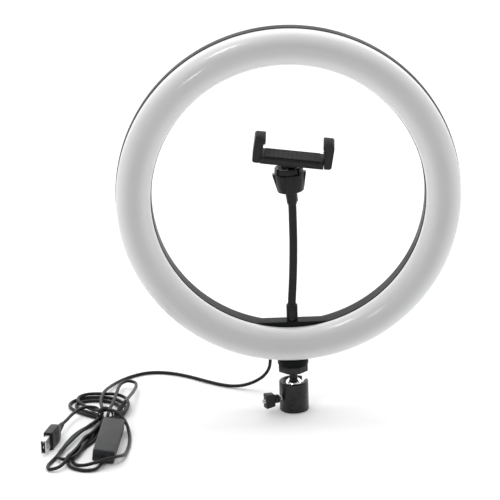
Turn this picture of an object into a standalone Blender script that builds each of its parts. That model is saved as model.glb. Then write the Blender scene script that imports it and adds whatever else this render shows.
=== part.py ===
"""Ring light on a mini ball head, with a gooseneck phone clip and a corded in-line controller.

Metres, +Z up. The origin is on the table, under the middle of the ball head. The light faces -Y.
"""

import math

import bmesh
import bpy
from mathutils import Matrix, Vector

GAP = 0.0003  # clearance between two pieces that touch
SLIDING = 0.0004  # clearance round a piece that slides or turns in another
LAP = 0.0006  # how far two joined shapes reach into each other

# ring
RING_RADIUS = 0.150
OPENING_RADIUS = 0.1187
DOME_HEIGHT = 0.009
FRONT_RIM = 0.013  # where the dome starts, in front of the ball head's axis
OUTER_SEAM = 0.0054
INNER_SEAM = 0.0112
BACK_DEPTH = 0.0118
BACK_ROUND = 0.008
DIFFUSER_WALL = 0.002
HOUSING_WALL = 0.0022
BOARD_THICKNESS = 0.0016
BOARD_LEDGE = 0.002
LED_COUNT = 36
LED_SIZE = (0.0035, 0.005, 0.0012)
HOUSING_SCREWS = 4
RING_STEPS = 64

# bridge inside the ring, which carries the gooseneck
BRIDGE_RISE = 0.0041
BRIDGE_FRONT = -0.011
BRIDGE_BACK = 0.0024

# foot under the ring
FOOT_RADIUS = 0.01375
FOOT_HEIGHT = 0.0073

# ball head
CUP_RADIUS = 0.013
CUP_HEIGHT = 0.0273
BALL_RADIUS = 0.009
BALL_HEIGHT = 0.021
SEAT_BORE_RADIUS = 0.003
CUP_FLOOR = 0.002
LIP_RISE = 0.0042  # the cup's lip above the ball's centre
STEM_RADIUS = 0.00375
STEM_TOP = 0.0374
SLOT_BEARING = math.radians(34)
LOCK_DISC_RADIUS = 0.014
LOCK_DISC_THICKNESS = 0.0059
STUD_RADIUS = 0.0031  # quarter-inch camera thread
INSERT_WALL = 0.0012
INSERT_LENGTH = 0.0059

# lock knob of the ball head
KNOB_BEARING = math.radians(206)
KNOB_HEIGHT = 0.013
KNOB_SCREW_RADIUS = 0.002
KNOB_START = 0.0155
KNOB_HUB_LENGTH = 0.0048
KNOB_HUB_RADIUS = 0.0038
KNOB_WING = (0.0134, 0.0076, 0.0087)
KNOB_SCREW_END = 0.0312
BRAKE_PAD_LENGTH = 0.0018
BRAKE_PAD_PLAY = 0.00077  # between the pad and the ball while the knob is slack

# cable gland at the back of the ring
GLAND_PLACE = (-0.019, 0.066)
GLAND_LENGTH = 0.015

# gooseneck
NECK_X = 0.0003
NECK_Y = -0.0045
HOSE_RADIUS = 0.0036
CORE_RADIUS = 0.002
LOWER_FERRULE_WALL = 0.0011
LOWER_FERRULE_RADIUS = HOSE_RADIUS + GAP + LOWER_FERRULE_WALL
LOWER_FERRULE_LENGTH = 0.0144
FERRULE_GRIP = 0.008
NECK_STUD_RADIUS = 0.0025
UPPER_FERRULE_WALLS = (0.0004, 0.0014)  # lower end, upper end
UPPER_FERRULE_RADII = tuple(HOSE_RADIUS + GAP + wall for wall in UPPER_FERRULE_WALLS)
UPPER_FERRULE_LENGTH = 0.0118

# ball joint and lock nut under the clip, along the neck's own axis from the clip's ball centre
CLIP_BALL = (0.0015, NECK_Y, 0.2185)
NECK_LEAN = math.radians(-4)
CLIP_BALL_RADIUS = 0.0066
SOCKET_BOTTOM = -0.0126
SOCKET_TOP = 0.0094
SOCKET_RADIUS = 0.0098
COLLAR_RADIUS = 0.0127
COLLAR_BOTTOM = 0.0043
SOCKET_LIP_ANGLE = math.radians(57)
SOCKET_MOUTH_RADIUS = 0.0102
SOCKET_SLIT = 0.0018
NUT_RADII = (0.0116, 0.0132)
NUT_EARS = 6
NUT_EAR = (0.0055, 0.0022)

# phone clip, along its own axes from the same ball centre
CLIP_TILT = math.radians(22)
CLIP_ROLL = math.radians(8)
STUB_RADIUS = 0.0028
CLIP_BACK = 0.0166
COVER_THICKNESS = 0.0018
CLIP_THICKNESS = 0.007
CLIP_WIDTH = 0.015
PHONE_GAP = 0.0552
POST_THICKNESS = 0.0068
HOOK_REACH = 0.0183
HOOK_LIP = (0.0028, 0.0045)
CLIP_ROUND = 0.0016
JAW_TRAVEL = 0.030
TONGUE = (0.0075, 0.0018)
TONGUE_LENGTH = 0.036
ROD_RADIUS = 0.0008
PAD_THICKNESS = 0.001
CHANNEL_DEPTH = 0.0032
CHANNEL_WALL = 0.0014
ROD_SPREAD = CLIP_WIDTH / 2 - CHANNEL_WALL - ROD_RADIUS - GAP  # the rods lie along the channel's walls
COVER_SCREWS = ((-0.018, -0.004), (-0.018, 0.004))
COVER_SCREW_RADIUS = 0.0008

# in-line controller, from its own middle: X towards the plug, Z up
CONTROLLER_PLACE = (-0.163, -0.074, 0.0074)
CONTROLLER_HEADING = math.radians(265)
CONTROLLER_ROLL = math.radians(8)
CONTROLLER_SIZE = (0.072, 0.019, 0.0115)
SHELL_WALL = 0.0014
BUTTON_RADIUS = 0.0022
BUTTON_PITCH = 0.014
BUTTON_RISE = 0.0005
RELIEF_IN_RADII = (0.0031, 0.0019)
RELIEF_OUT_LENGTH = 0.007
RELIEF_OUT_DROP = 0.0028

# plug, from its cable end
PLUG_PLACE = (-0.2053, -0.0375, 0.0083)
PLUG_HEADING = math.radians(255)
PLUG_RELIEF_LENGTH = 0.013
PLUG_BODY = (0.026, 0.008, 0.016)
PLUG_SHELL = (0.0125, 0.0045, 0.012)
PLUG_SHELL_WALL = 0.0004

# cord, its routes in millimetres
CORD_RADIUS = 0.0015
TIE_PLACE = (-0.1690, -0.0185, 0.0064)
TIE_RADIUS = 0.0052
TIE_THICKNESS = 0.001
HANK_HEIGHT = 0.0047

RELIEF_IN_ROUTE = ((-159.8, -37.3, 7.4), (-158.5, -28, 9), (-155.6, -18, 12), (-150.7, -7.2, 14.9))
LEAD_DROP = (
    (-19, 27.7, 66), (-19, 31, 66), (-19, 35, 62.8), (-19, 38, 57), (-19.2, 39.6, 48), (-19.6, 40.2, 36),
    (-21, 41, 24), (-26, 43, 15.5), (-32, 45.2, 10.3),
)
LEAD_RUN = (
    (-32.7, 45.5, 9.8), (-40.3, 48.1, 5.7), (-48.6, 50.7, 3.1), (-56.9, 54.2, 1.9),
    (-64.9, 58.4, 1.6), (-72.4, 63.5, 1.6), (-79.6, 69, 1.6), (-86.7, 74.7, 1.6),
    (-93.8, 80.3, 1.6), (-101.2, 85.5, 1.6), (-109.1, 89.9, 1.6), (-117.6, 93.1, 1.6),
    (-126.5, 94.7, 1.6), (-135.5, 93.6, 1.6), (-143.7, 89.8, 1.6), (-150.7, 84, 1.8),
    (-156.6, 77.2, 2.2), (-161.4, 69.5, 2.8), (-165.2, 61.4, 3.6), (-168.1, 52.8, 4.7),
    (-170.4, 44.2, 6.1), (-172.1, 35.3, 6.8), (-173.2, 26.3, 7.3), (-173.7, 17.3, 7.6),
    (-173.2, 8.2, 7.9), (-172, -0.8, 8.1), (-170.9, -9.8, 7.9),
)
CONTROLLER_RUN = (
    (-165.1, -10.6, 8.2), (-164, -1.8, 8), (-162.9, 7, 7.8), (-161.9, 15.8, 7.6), (-161, 24.6, 7.5),
    (-160.2, 33.4, 7.3), (-159.4, 42.3, 7.1), (-158.2, 51.1, 6.9), (-155.4, 59.4, 6.8),
    (-148.1, 63, 6.4), (-143.3, 56.1, 6.2), (-143.1, 47.3, 6.8), (-144, 38.5, 7.9),
    (-145.1, 29.8, 9.1), (-146.3, 21.1, 10.5), (-147.5, 12.5, 12.1), (-148.8, 3.8, 13.5),
    (-150.2, -4.8, 14.8),
)
RIGHT_LOOP = (
    (-163.5, -22.1, 13.8), (-156.8, -28.2, 13.7), (-151.3, -34.5, 9.9), (-147.8, -41.8, 5.7),
    (-146.1, -50.3, 2.8), (-145.4, -59.4, 1.7), (-145.5, -68.6, 1.6), (-146, -77.8, 1.6),
    (-147, -87, 1.8), (-148.6, -96, 2.9), (-151, -104.5, 5.4), (-155.4, -112.1, 7.8),
    (-162.7, -117.6, 8.3), (-171.4, -119.7, 6.8), (-180.1, -118.6, 4.1), (-187.9, -114.3, 2.3),
)
CONTROLLER_TAIL = (
    (-167.3, -119.5, 4.2), (-174.4, -124.7, 2.1), (-183.6, -123.8, 1.6), (-191.4, -118.8, 1.6),
)
PLUG_RUN = (
    (-177.6, -0.9, 7.9), (-185.8, -0.6, 8.6), (-192.5, -5.6, 8.3), (-196.9, -12.9, 8),
    (-199.8, -20.9, 8), (-202.3, -29, 8.2), (-205.2, -37, 8.3),
)
UPPER_LOOPS = (
    (-203.3, 16), (-199.6, 9), (-194.8, 3.8), (-190.1, -0.7), (-185, -5.6), (-178, -13.3),
    (-168.3, -14), (-156.3, -13.9), (-149.9, -4.5), (-147.3, 6), (-147.7, 16), (-149.4, 25.3),
    (-153.8, 33.6), (-160.9, 39.6), (-169.4, 42.5), (-178, 42.8), (-186.2, 41.1), (-193.7, 37.6),
    (-200.3, 32.2), (-204, 24.4),
)
LOWER_LOOPS = (
    (-175.7, -23.1), (-180.7, -30.8), (-186.4, -39.4), (-196.4, -48.4), (-200.2, -59.8),
    (-203.4, -71.4), (-206.3, -83.2), (-209.5, -94.8), (-212.9, -104.2), (-215.2, -111.9),
    (-215.4, -118.2), (-214.4, -120.6), (-205.2, -124.1), (-203.1, -122.9), (-198.9, -118),
    (-195.8, -110.6), (-190.9, -101.8), (-186.5, -90.6), (-183.4, -79), (-181.1, -67),
    (-173.8, -57), (-171.8, -45.1), (-171.8, -35.5), (-165.2, -27.1),
)

# worked out from the sizes above
LOCK_DISC_BOTTOM = STEM_TOP + GAP
FOOT_BOTTOM = LOCK_DISC_BOTTOM + LOCK_DISC_THICKNESS + GAP
RING_CENTRE = FOOT_BOTTOM + FOOT_HEIGHT + RING_RADIUS
BAND_MIDDLE = (RING_RADIUS + OPENING_RADIUS) / 2
BAND_HALF = (RING_RADIUS - OPENING_RADIUS) / 2
BRIDGE_LEVEL = OPENING_RADIUS - BRIDGE_RISE
NECK_BASE = RING_CENTRE - BRIDGE_LEVEL
INSERT_RADIUS = STUD_RADIUS + SLIDING + INSERT_WALL
SOCKET_CAVITY = CLIP_BALL_RADIUS + GAP
CLIP_FACE = CLIP_BACK + CLIP_THICKNESS
COVER_FRONT = CLIP_BACK + COVER_THICKNESS
BODY_BACK = COVER_FRONT + GAP
POST_INNER = PHONE_GAP / 2
POST_OUTER = POST_INNER + POST_THICKNESS
HOOK_TOP = CLIP_FACE + HOOK_REACH


# ---------------------------------------------------------------- helpers

def clear_scene():
    for old in list(bpy.data.objects):
        bpy.data.objects.remove(old, do_unlink=True)


def finish(name, colour, roughness, metallic=0.0):
    """A plain finish: one colour over the whole piece."""
    material = bpy.data.materials.new(name)
    material.use_nodes = True
    shader = material.node_tree.nodes["Principled BSDF"]
    shader.inputs["Base Color"].default_value = (*colour, 1.0)
    shader.inputs["Roughness"].default_value = roughness
    shader.inputs["Metallic"].default_value = metallic
    material.diffuse_color = (*colour, 1.0)
    return material


def frame(name, place, turn=(0.0, 0.0, 0.0), parent=None):
    """An empty that carries the pieces of one sub-assembly."""
    empty = bpy.data.objects.new(name, None)
    empty.empty_display_size = 0.01
    empty.location = place
    empty.rotation_euler = turn
    empty.parent = parent
    bpy.context.scene.collection.objects.link(empty)
    return empty


def piece(name, bm, material, parent=None, sharp=math.radians(35)):
    """Turns a bmesh into a smooth-shaded object with its normals outwards."""
    bmesh.ops.remove_doubles(bm, verts=bm.verts, dist=1e-7)
    bmesh.ops.recalc_face_normals(bm, faces=bm.faces)
    mesh = bpy.data.meshes.new(name)
    bm.to_mesh(mesh)
    bm.free()
    mesh.shade_smooth()
    mesh.set_sharp_from_angle(angle=sharp)
    mesh.materials.append(material)
    obj = bpy.data.objects.new(name, mesh)
    obj.parent = parent
    bpy.context.scene.collection.objects.link(obj)
    return obj


def cutter(name, bm, parent=None):
    obj = piece(name, bm, finish(name, (0.8, 0.1, 0.1), 0.5), parent)
    obj.hide_render = True
    obj.display_type = "WIRE"
    return obj


def boolean(target, other, operation="DIFFERENCE"):
    change = target.modifiers.new(other.name, "BOOLEAN")
    change.operation = operation
    change.object = other
    change.solver = "EXACT"


def turned(outline, steps, closed=False):
    """Spins an outline of (radius, height) about Z. An open outline starts and ends on the axis."""
    bm = bmesh.new()
    verts = [bm.verts.new((r, 0.0, z)) for r, z in outline]
    pairs = list(zip(verts, verts[1:]))
    if closed:
        pairs.append((verts[-1], verts[0]))
    edges = [bm.edges.new(pair) for pair in pairs]
    bmesh.ops.spin(
        bm, geom=verts + edges, cent=(0, 0, 0), axis=(0, 0, 1), angle=math.tau, steps=steps, use_merge=True
    )
    bmesh.ops.remove_doubles(bm, verts=bm.verts, dist=1e-7)
    return bm


def block(size, centre=(0.0, 0.0, 0.0)):
    bm = bmesh.new()
    bmesh.ops.create_cube(bm, size=1.0)
    bmesh.ops.scale(bm, verts=bm.verts, vec=size)
    bmesh.ops.translate(bm, verts=bm.verts, vec=centre)
    return bm


def rod(radius, bottom, top, steps=24, place=(0.0, 0.0)):
    """A plain round bar along Z."""
    bm = bmesh.new()
    bmesh.ops.create_cone(
        bm, cap_ends=True, segments=steps, radius1=radius, radius2=radius, depth=top - bottom
    )
    bmesh.ops.translate(bm, verts=bm.verts, vec=(*place, (top + bottom) / 2))
    return bm


def sleeve(inner, outer, bottom, top, steps=24, chamfer=0.0):
    outline = [
        (inner, bottom), (outer - chamfer, bottom), (outer, bottom + chamfer),
        (outer, top - chamfer), (outer - chamfer, top), (inner, top),
    ]
    if not chamfer:
        outline = [(inner, bottom), (outer, bottom), (outer, top), (inner, top)]
    return turned(outline, steps, closed=True)


def plate(outline, bottom, top):
    """A flat outline in X and Y, extruded along Z."""
    bm = bmesh.new()
    face = bm.faces.new([bm.verts.new((x, y, bottom)) for x, y in outline])
    raised = bmesh.ops.extrude_face_region(bm, geom=[face])
    moved = [v for v in raised["geom"] if isinstance(v, bmesh.types.BMVert)]
    bmesh.ops.translate(bm, verts=moved, vec=(0, 0, top - bottom))
    return bm


def round_edges(bm, width, segments=2, pick=None):
    edges = [e for e in bm.edges if pick is None or pick(e)]
    bmesh.ops.bevel(
        bm, geom=edges, offset=width, segments=segments, profile=0.5, affect="EDGES", clamp_overlap=True
    )
    return bm


def arc(centre, radius, start, end, steps):
    """Points of an arc in the outline's plane, angles counted from the outline's first axis."""
    cx, cz = centre
    angles = [start + (end - start) * k / steps for k in range(steps + 1)]
    return [(cx + radius * math.cos(a), cz + radius * math.sin(a)) for a in angles]


def place_mesh(bm, matrix):
    bmesh.ops.transform(bm, matrix=matrix, verts=bm.verts)
    return bm


def smooth_route(points, spacing):
    """Evenly spaced points on a smooth curve through the given points."""
    knots = [points[0], *points, points[-1]]
    fine = []
    for k in range(1, len(knots) - 2):
        a, b, c, d = knots[k - 1 : k + 3]
        for step in range(12):
            t = step / 12
            fine.append(
                0.5 * (2 * b + (c - a) * t + (2 * a - 5 * b + 4 * c - d) * t**2
                       + (3 * b - a - 3 * c + d) * t**3)
            )
    fine.append(points[-1])
    length = sum((q - p).length for p, q in zip(fine, fine[1:]))
    count = max(2, round(length / spacing))
    placed, walked, goal = [fine[0]], 0.0, length / count
    for p, q in zip(fine, fine[1:]):
        step = (q - p).length
        while walked + step >= goal and len(placed) < count:
            placed.append(p.lerp(q, (goal - walked) / step))
            goal += length / count
        walked += step
    placed.append(fine[-1])
    return placed


def tube(name, points, radius, material, spacing, sides=2, parent=None):
    """A round solid that follows a smooth curve through the points."""
    curve = bpy.data.curves.new(name, "CURVE")
    curve.dimensions = "3D"
    spline = curve.splines.new("POLY")
    route = smooth_route(points, spacing)
    spline.points.add(len(route) - 1)
    for point, co in zip(spline.points, route):
        point.co = (*co, 1.0)
    curve.bevel_depth = radius
    curve.bevel_resolution = sides
    curve.use_fill_caps = True
    curve.materials.append(material)
    obj = bpy.data.objects.new(name, curve)
    obj.parent = parent
    bpy.context.scene.collection.objects.link(obj)
    return obj


def millimetres(points):
    return [Vector(p) * 0.001 for p in points]


# ---------------------------------------------------------------- finishes

def make_finishes():
    return {
        "diffuser": finish("diffuser", (0.78, 0.79, 0.78), 0.25),
        "housing": finish("housing", (0.035, 0.036, 0.038), 0.42),
        "board": finish("board", (0.75, 0.77, 0.74), 0.5),
        "black": finish("black_plastic", (0.02, 0.021, 0.022), 0.4),
        "nylon": finish("nylon", (0.6, 0.6, 0.56), 0.6),
        "anodised": finish("black_anodised", (0.012, 0.013, 0.014), 0.35, 0.6),
        "chrome": finish("chrome", (0.86, 0.87, 0.88), 0.08, 1.0),
        "steel": finish("steel", (0.5, 0.5, 0.5), 0.32, 1.0),
        "brass": finish("brass", (0.72, 0.52, 0.22), 0.3, 1.0),
        "rubber": finish("rubber", (0.03, 0.03, 0.03), 0.75),
        "cord": finish("cord_jacket", (0.02, 0.021, 0.023), 0.45),
        "plug_metal": finish("plug_metal", (0.7, 0.71, 0.7), 0.25, 1.0),
    }


# ---------------------------------------------------------------- ring

def dome_outline(inset, back_outer, back_inner):
    """Half an ellipse over the band, with straight sides behind it, shrunk by the inset."""
    half, rise, steps = BAND_HALF - inset, DOME_HEIGHT - inset, 6 if inset else 9
    dome = [
        (BAND_MIDDLE + half * math.cos(math.pi * k / steps), FRONT_RIM + rise * math.sin(math.pi * k / steps))
        for k in range(steps + 1)
    ]
    return [(BAND_MIDDLE + half, back_outer), *dome, (BAND_MIDDLE - half, back_inner)]


def make_diffuser(ring, finishes):
    back_outer, back_inner = OUTER_SEAM + GAP, INNER_SEAM + GAP
    outline = dome_outline(0.0, back_outer, back_inner)
    outline += reversed(dome_outline(DIFFUSER_WALL, back_outer, back_inner))
    return piece("front_diffuser", turned(outline, RING_STEPS, closed=True), finishes["diffuser"], ring)


def housing_outline():
    """The open channel behind the diffuser, with a ledge on each side for the LED board."""
    outer, inner, back = RING_RADIUS, OPENING_RADIUS, -BACK_DEPTH
    outer_corner = arc((outer - BACK_ROUND, back + BACK_ROUND), BACK_ROUND, 0, -math.pi / 2, 4)
    inner_corner = arc((inner + BACK_ROUND, back + BACK_ROUND), BACK_ROUND, -math.pi / 2, -math.pi, 4)
    floor = back + HOUSING_WALL
    bend = BACK_ROUND - HOUSING_WALL
    inside_inner = arc((inner + BACK_ROUND, back + BACK_ROUND), bend, -math.pi, -math.pi / 2, 2)[1:]
    inside_outer = arc((outer - BACK_ROUND, back + BACK_ROUND), bend, -math.pi / 2, 0, 2)[:-1]
    ledge = -GAP
    wall_in, wall_out = inner + HOUSING_WALL, outer - HOUSING_WALL
    inside = [
        (wall_in, INNER_SEAM), (wall_in, ledge), (wall_in + BOARD_LEDGE, ledge),
        (wall_in + BOARD_LEDGE, floor + bend / 2),
        (inside_inner[-1][0], floor), (inside_outer[0][0], floor),
        (wall_out - BOARD_LEDGE, floor + bend / 2),
        (wall_out - BOARD_LEDGE, ledge), (wall_out, ledge), (wall_out, OUTER_SEAM),
    ]
    return [(outer, OUTER_SEAM), *outer_corner, *inner_corner, (inner, INNER_SEAM), *inside]


def make_bridge(ring):
    """A flat-topped block in the bottom of the opening, sunk a little into the housing's inner wall."""
    reach = OPENING_RADIUS + HOUSING_WALL / 2
    half = math.acos(BRIDGE_LEVEL / reach)
    outline = arc((0, 0), reach, -math.pi / 2 - half, -math.pi / 2 + half, 12)
    return cutter("bridge_shape", plate(outline, -BRIDGE_BACK, -BRIDGE_FRONT), ring)


def make_foot(ring):
    """A round foot below the ring: a disc clear of the diffuser, and a neck up into the housing."""
    top = RING_CENTRE - RING_RADIUS - GAP
    disc = rod(FOOT_RADIUS, FOOT_BOTTOM, top, 40)
    disc = cutter("foot_disc", round_edges(disc, 0.0004, 1, lambda e: abs(e.calc_face_angle()) > 1))
    low, high = top - 2 * LAP, RING_CENTRE - RING_RADIUS + HOUSING_WALL * 0.6
    front, back = -OUTER_SEAM + GAP * 2, BACK_DEPTH - BACK_ROUND + 0.002
    neck = block((0.02, back - front, high - low), (0, (front + back) / 2, (low + high) / 2))
    return disc, cutter("foot_neck", neck)


def make_housing(ring, finishes):
    housing = piece("rear_housing", turned(housing_outline(), RING_STEPS, closed=True), finishes["housing"], ring)
    boolean(housing, make_bridge(ring), "UNION")
    disc, neck = make_foot(ring)
    boolean(housing, neck, "UNION")
    boolean(housing, disc, "UNION")
    foot_bore = rod(INSERT_RADIUS + GAP, FOOT_BOTTOM - 0.002, FOOT_BOTTOM + INSERT_LENGTH + 2 * GAP, 24)
    boolean(housing, cutter("foot_bore", foot_bore))
    neck_bore = rod(NECK_STUD_RADIUS + SLIDING + INSERT_WALL + GAP, NECK_BASE - 0.02, NECK_BASE + 0.002, 24,
                    (NECK_X, NECK_Y))
    boolean(housing, cutter("neck_bore", neck_bore))
    gland_bore = place_mesh(rod(0.0023, 0.006, 0.014, 16), Matrix.Rotation(-math.pi / 2, 4, "X"))
    place_mesh(gland_bore, Matrix.Translation((GLAND_PLACE[0], 0, GLAND_PLACE[1])))
    boolean(housing, cutter("gland_bore", gland_bore))
    for number, (x, z) in enumerate(screw_places()):
        bore = place_mesh(rod(0.0015, 0.006, 0.014, 12), Matrix.Rotation(-math.pi / 2, 4, "X"))
        boolean(housing, cutter(f"screw_bore_{number}", place_mesh(bore, Matrix.Translation((x, 0, z)))))
    return housing


def screw_places():
    """The housing screws' places on the back face, in X and Z."""
    bearings = [math.tau * (k + 0.5) / HOUSING_SCREWS for k in range(HOUSING_SCREWS)]
    return [(BAND_MIDDLE * math.cos(a), RING_CENTRE + BAND_MIDDLE * math.sin(a)) for a in bearings]


def make_housing_screws(finishes):
    back = BACK_DEPTH + GAP
    outline = [
        (0, -0.006), (0.0012, -0.006), (0.0012, 0), (0.0026, 0), (0.0026, 0.0008), (0.0018, 0.0015), (0, 0.0015),
    ]
    for number, (x, z) in enumerate(screw_places(), 1):
        bm = place_mesh(turned(outline, 16), Matrix.Translation((x, back, z)) @ Matrix.Rotation(-math.pi / 2, 4, "X"))
        piece(f"housing_screw_{number}", bm, finishes["steel"])


def make_led_board(ring, finishes):
    inner = OPENING_RADIUS + HOUSING_WALL + SLIDING
    outer = RING_RADIUS - HOUSING_WALL - SLIDING
    board = piece("led_board", sleeve(inner, outer, 0.0, BOARD_THICKNESS, RING_STEPS), finishes["board"], ring)
    leds = bmesh.new()
    wide, long, high = LED_SIZE
    for k in range(LED_COUNT):
        bearing = math.tau * (k + 0.5) / LED_COUNT
        made = bmesh.ops.create_cube(leds, size=1.0)
        move = (
            Matrix.Rotation(bearing, 4, "Z")
            @ Matrix.Translation((BAND_MIDDLE, 0, BOARD_THICKNESS + high / 2 - 0.0002))
            @ Matrix.Diagonal((wide, long, high + 0.0004, 1))
        )
        bmesh.ops.transform(leds, matrix=move, verts=made["verts"])
    boolean(board, cutter("led_blocks", leds, ring), "UNION")
    return board


def make_gland(finishes):
    """A tapered rubber boot where the cord leaves the back of the ring."""
    face = BACK_DEPTH + GAP
    outline = [
        (0, -0.003), (0.002, -0.003), (0.002, 0), (0.0038, 0), (0.0038, 0.0014), (0.003, 0.0018),
        (0.0021, GLAND_LENGTH - 0.0004), (0.0018, GLAND_LENGTH), (0, GLAND_LENGTH),
    ]
    bm = place_mesh(turned(outline, 20), Matrix.Rotation(-math.pi / 2, 4, "X"))
    place_mesh(bm, Matrix.Translation((GLAND_PLACE[0], face, GLAND_PLACE[1])))
    return piece("cable_gland", bm, finishes["rubber"])


def make_inserts(finishes):
    foot = sleeve(STUD_RADIUS + SLIDING, INSERT_RADIUS, FOOT_BOTTOM + GAP, FOOT_BOTTOM + GAP + INSERT_LENGTH, 24)
    piece("foot_insert", foot, finishes["brass"])
    inner = NECK_STUD_RADIUS + SLIDING
    neck = sleeve(inner, inner + INSERT_WALL, NECK_BASE - 0.0062, NECK_BASE - GAP, 24)
    piece("neck_insert", place_mesh(neck, Matrix.Translation((NECK_X, NECK_Y, 0))), finishes["brass"])
    base = sleeve(STUD_RADIUS + SLIDING, INSERT_RADIUS, GAP, GAP + INSERT_LENGTH, 24)
    piece("base_insert", base, finishes["brass"])


# ---------------------------------------------------------------- ball head

def make_cup(finishes):
    cavity = BALL_RADIUS + GAP
    lip_angle = math.asin(LIP_RISE / cavity)
    seat = arc((0, BALL_HEIGHT), cavity, lip_angle, 0, 5)
    pocket, top = INSERT_LENGTH + 2 * GAP, CUP_HEIGHT
    outline = [
        (0, pocket), (INSERT_RADIUS + GAP, pocket), (INSERT_RADIUS + GAP, 0), (CUP_RADIUS - 0.0006, 0),
        (CUP_RADIUS, 0.0006), (CUP_RADIUS, top - 0.0009), (CUP_RADIUS - 0.0009, top),
        (CUP_RADIUS - 0.0026, top), *seat, (cavity, pocket + CUP_FLOOR), (0, pocket + CUP_FLOOR),
    ]
    cup = piece("ball_cup", turned(outline, 40), finishes["anodised"])
    width = STEM_RADIUS + 0.0004
    slot = arc((0, BALL_HEIGHT), width, -math.pi, 0, 8) + [(width, CUP_HEIGHT + 0.01), (-width, CUP_HEIGHT + 0.01)]
    slot = plate(slot, 0.004, CUP_RADIUS + 0.004)
    turn = Matrix.Rotation(SLOT_BEARING + math.pi / 2, 4, "Z") @ Matrix.Rotation(math.pi / 2, 4, "X")
    boolean(cup, cutter("drop_slot", place_mesh(slot, turn)))
    bore = place_mesh(rod(KNOB_SCREW_RADIUS + GAP, 0.006, CUP_RADIUS + 0.004, 20), along(KNOB_BEARING))
    boolean(cup, cutter("knob_bore", place_mesh(bore, Matrix.Translation((0, 0, KNOB_HEIGHT)))))
    return cup


def along(bearing):
    """Turns +Z to lie level, on the given bearing from +X."""
    return Matrix.Rotation(bearing, 4, "Z") @ Matrix.Rotation(math.pi / 2, 4, "Y")


def make_ball_and_stem(finishes):
    ball = turned(arc((0, 0), BALL_RADIUS, -math.pi / 2, math.pi / 2, 12), 28)
    ball = piece("clamp_ball", ball, finishes["chrome"])
    ball.location = (0, 0, BALL_HEIGHT)
    seat = BALL_RADIUS + GAP
    edge = math.acos(STEM_RADIUS / seat)
    foot = [(x, z) for x, z in arc((0, 0), seat, math.pi / 2, edge, 3)]
    foot[0] = (0, seat)
    top, hole = STEM_TOP - BALL_HEIGHT, STUD_RADIUS + GAP
    outline = [
        *foot, (STEM_RADIUS, top - 0.0035), (STEM_RADIUS + 0.0026, top - 0.0015), (STEM_RADIUS + 0.0026, top),
        (hole, top), (hole, seat + 0.0016), (0, seat + 0.0016),
    ]
    stem = piece("ball_stem", turned(outline, 32), finishes["anodised"])
    stem.location = (0, 0, BALL_HEIGHT)
    stud_top = FOOT_BOTTOM + INSERT_LENGTH
    stud_bottom = BALL_HEIGHT + seat + 0.0016 + GAP
    stud = round_edges(rod(STUD_RADIUS, stud_bottom, stud_top, 24), 0.0004, 1, lambda e: e.calc_face_angle() > 1)
    piece("camera_stud", stud, finishes["steel"])


def make_lock_disc(finishes):
    corners = [
        (LOCK_DISC_RADIUS * math.cos(a), LOCK_DISC_RADIUS * math.sin(a))
        for a in (math.tau * (k + 0.5) / 8 for k in range(8))
    ]
    bm = round_edges(plate(corners, LOCK_DISC_BOTTOM, LOCK_DISC_BOTTOM + LOCK_DISC_THICKNESS), 0.0005, 1)
    disc = piece("lock_disc", bm, finishes["anodised"])
    boolean(disc, cutter("lock_disc_bore", rod(STUD_RADIUS + GAP, LOCK_DISC_BOTTOM - 0.002, FOOT_BOTTOM + 0.002)))
    return disc


def brake_pad_start():
    """How far from the cup's axis the brake pad begins: just off the ball, at the pad's own height."""
    below = BALL_HEIGHT - KNOB_HEIGHT - (KNOB_SCREW_RADIUS - GAP)
    return math.sqrt(BALL_RADIUS**2 - below**2) + BRAKE_PAD_PLAY


def make_ball_seat(finishes):
    """The ring that the ball rests on, and the pad that the knob's screw presses against the ball."""
    floor = INSERT_LENGTH + 2 * GAP + CUP_FLOOR + GAP
    top = BALL_HEIGHT - math.sqrt(BALL_RADIUS**2 - SEAT_BORE_RADIUS**2) - GAP
    start = brake_pad_start()
    piece("ball_seat", sleeve(SEAT_BORE_RADIUS, start - 2 * GAP, floor, top, 24), finishes["nylon"])
    pad = place_mesh(rod(KNOB_SCREW_RADIUS - GAP, start, start + BRAKE_PAD_LENGTH, 16), along(KNOB_BEARING))
    piece("brake_pad", place_mesh(pad, Matrix.Translation((0, 0, KNOB_HEIGHT))), finishes["nylon"])


def make_knob(finishes):
    """The lock knob: a two-winged plastic grip on a steel screw, along the knob frame's +Z."""
    hub_end = KNOB_START + KNOB_HUB_LENGTH
    knob_frame = frame("knob_frame", (0, 0, KNOB_HEIGHT), (0, math.pi / 2, KNOB_BEARING))
    tip = brake_pad_start() + BRAKE_PAD_LENGTH + GAP
    screw = turned(
        [(0, tip), (KNOB_SCREW_RADIUS - 0.0004, tip), (KNOB_SCREW_RADIUS, tip + 0.0004),
         (KNOB_SCREW_RADIUS, KNOB_SCREW_END - 0.0005), (KNOB_SCREW_RADIUS - 0.0005, KNOB_SCREW_END),
         (0, KNOB_SCREW_END)], 20)
    piece("knob_screw", screw, finishes["steel"], knob_frame)
    tall, thick, deep = KNOB_WING
    wing = round_edges(block((tall, thick, deep), (0, 0, hub_end + deep / 2)), 0.0012, 2)
    knob = piece("lock_knob", wing, finishes["black"], knob_frame)
    hub = turned(
        [(0, KNOB_START), (KNOB_HUB_RADIUS - 0.0005, KNOB_START), (KNOB_HUB_RADIUS, KNOB_START + 0.0005),
         (KNOB_HUB_RADIUS, hub_end + LAP), (0, hub_end + LAP)], 24)
    boolean(knob, cutter("knob_hub", hub, knob_frame), "UNION")
    bore = rod(KNOB_SCREW_RADIUS + GAP, KNOB_START - 0.002, hub_end + deep + 0.002, 20)
    boolean(knob, cutter("knob_hole", bore, knob_frame))


# ---------------------------------------------------------------- gooseneck

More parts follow.
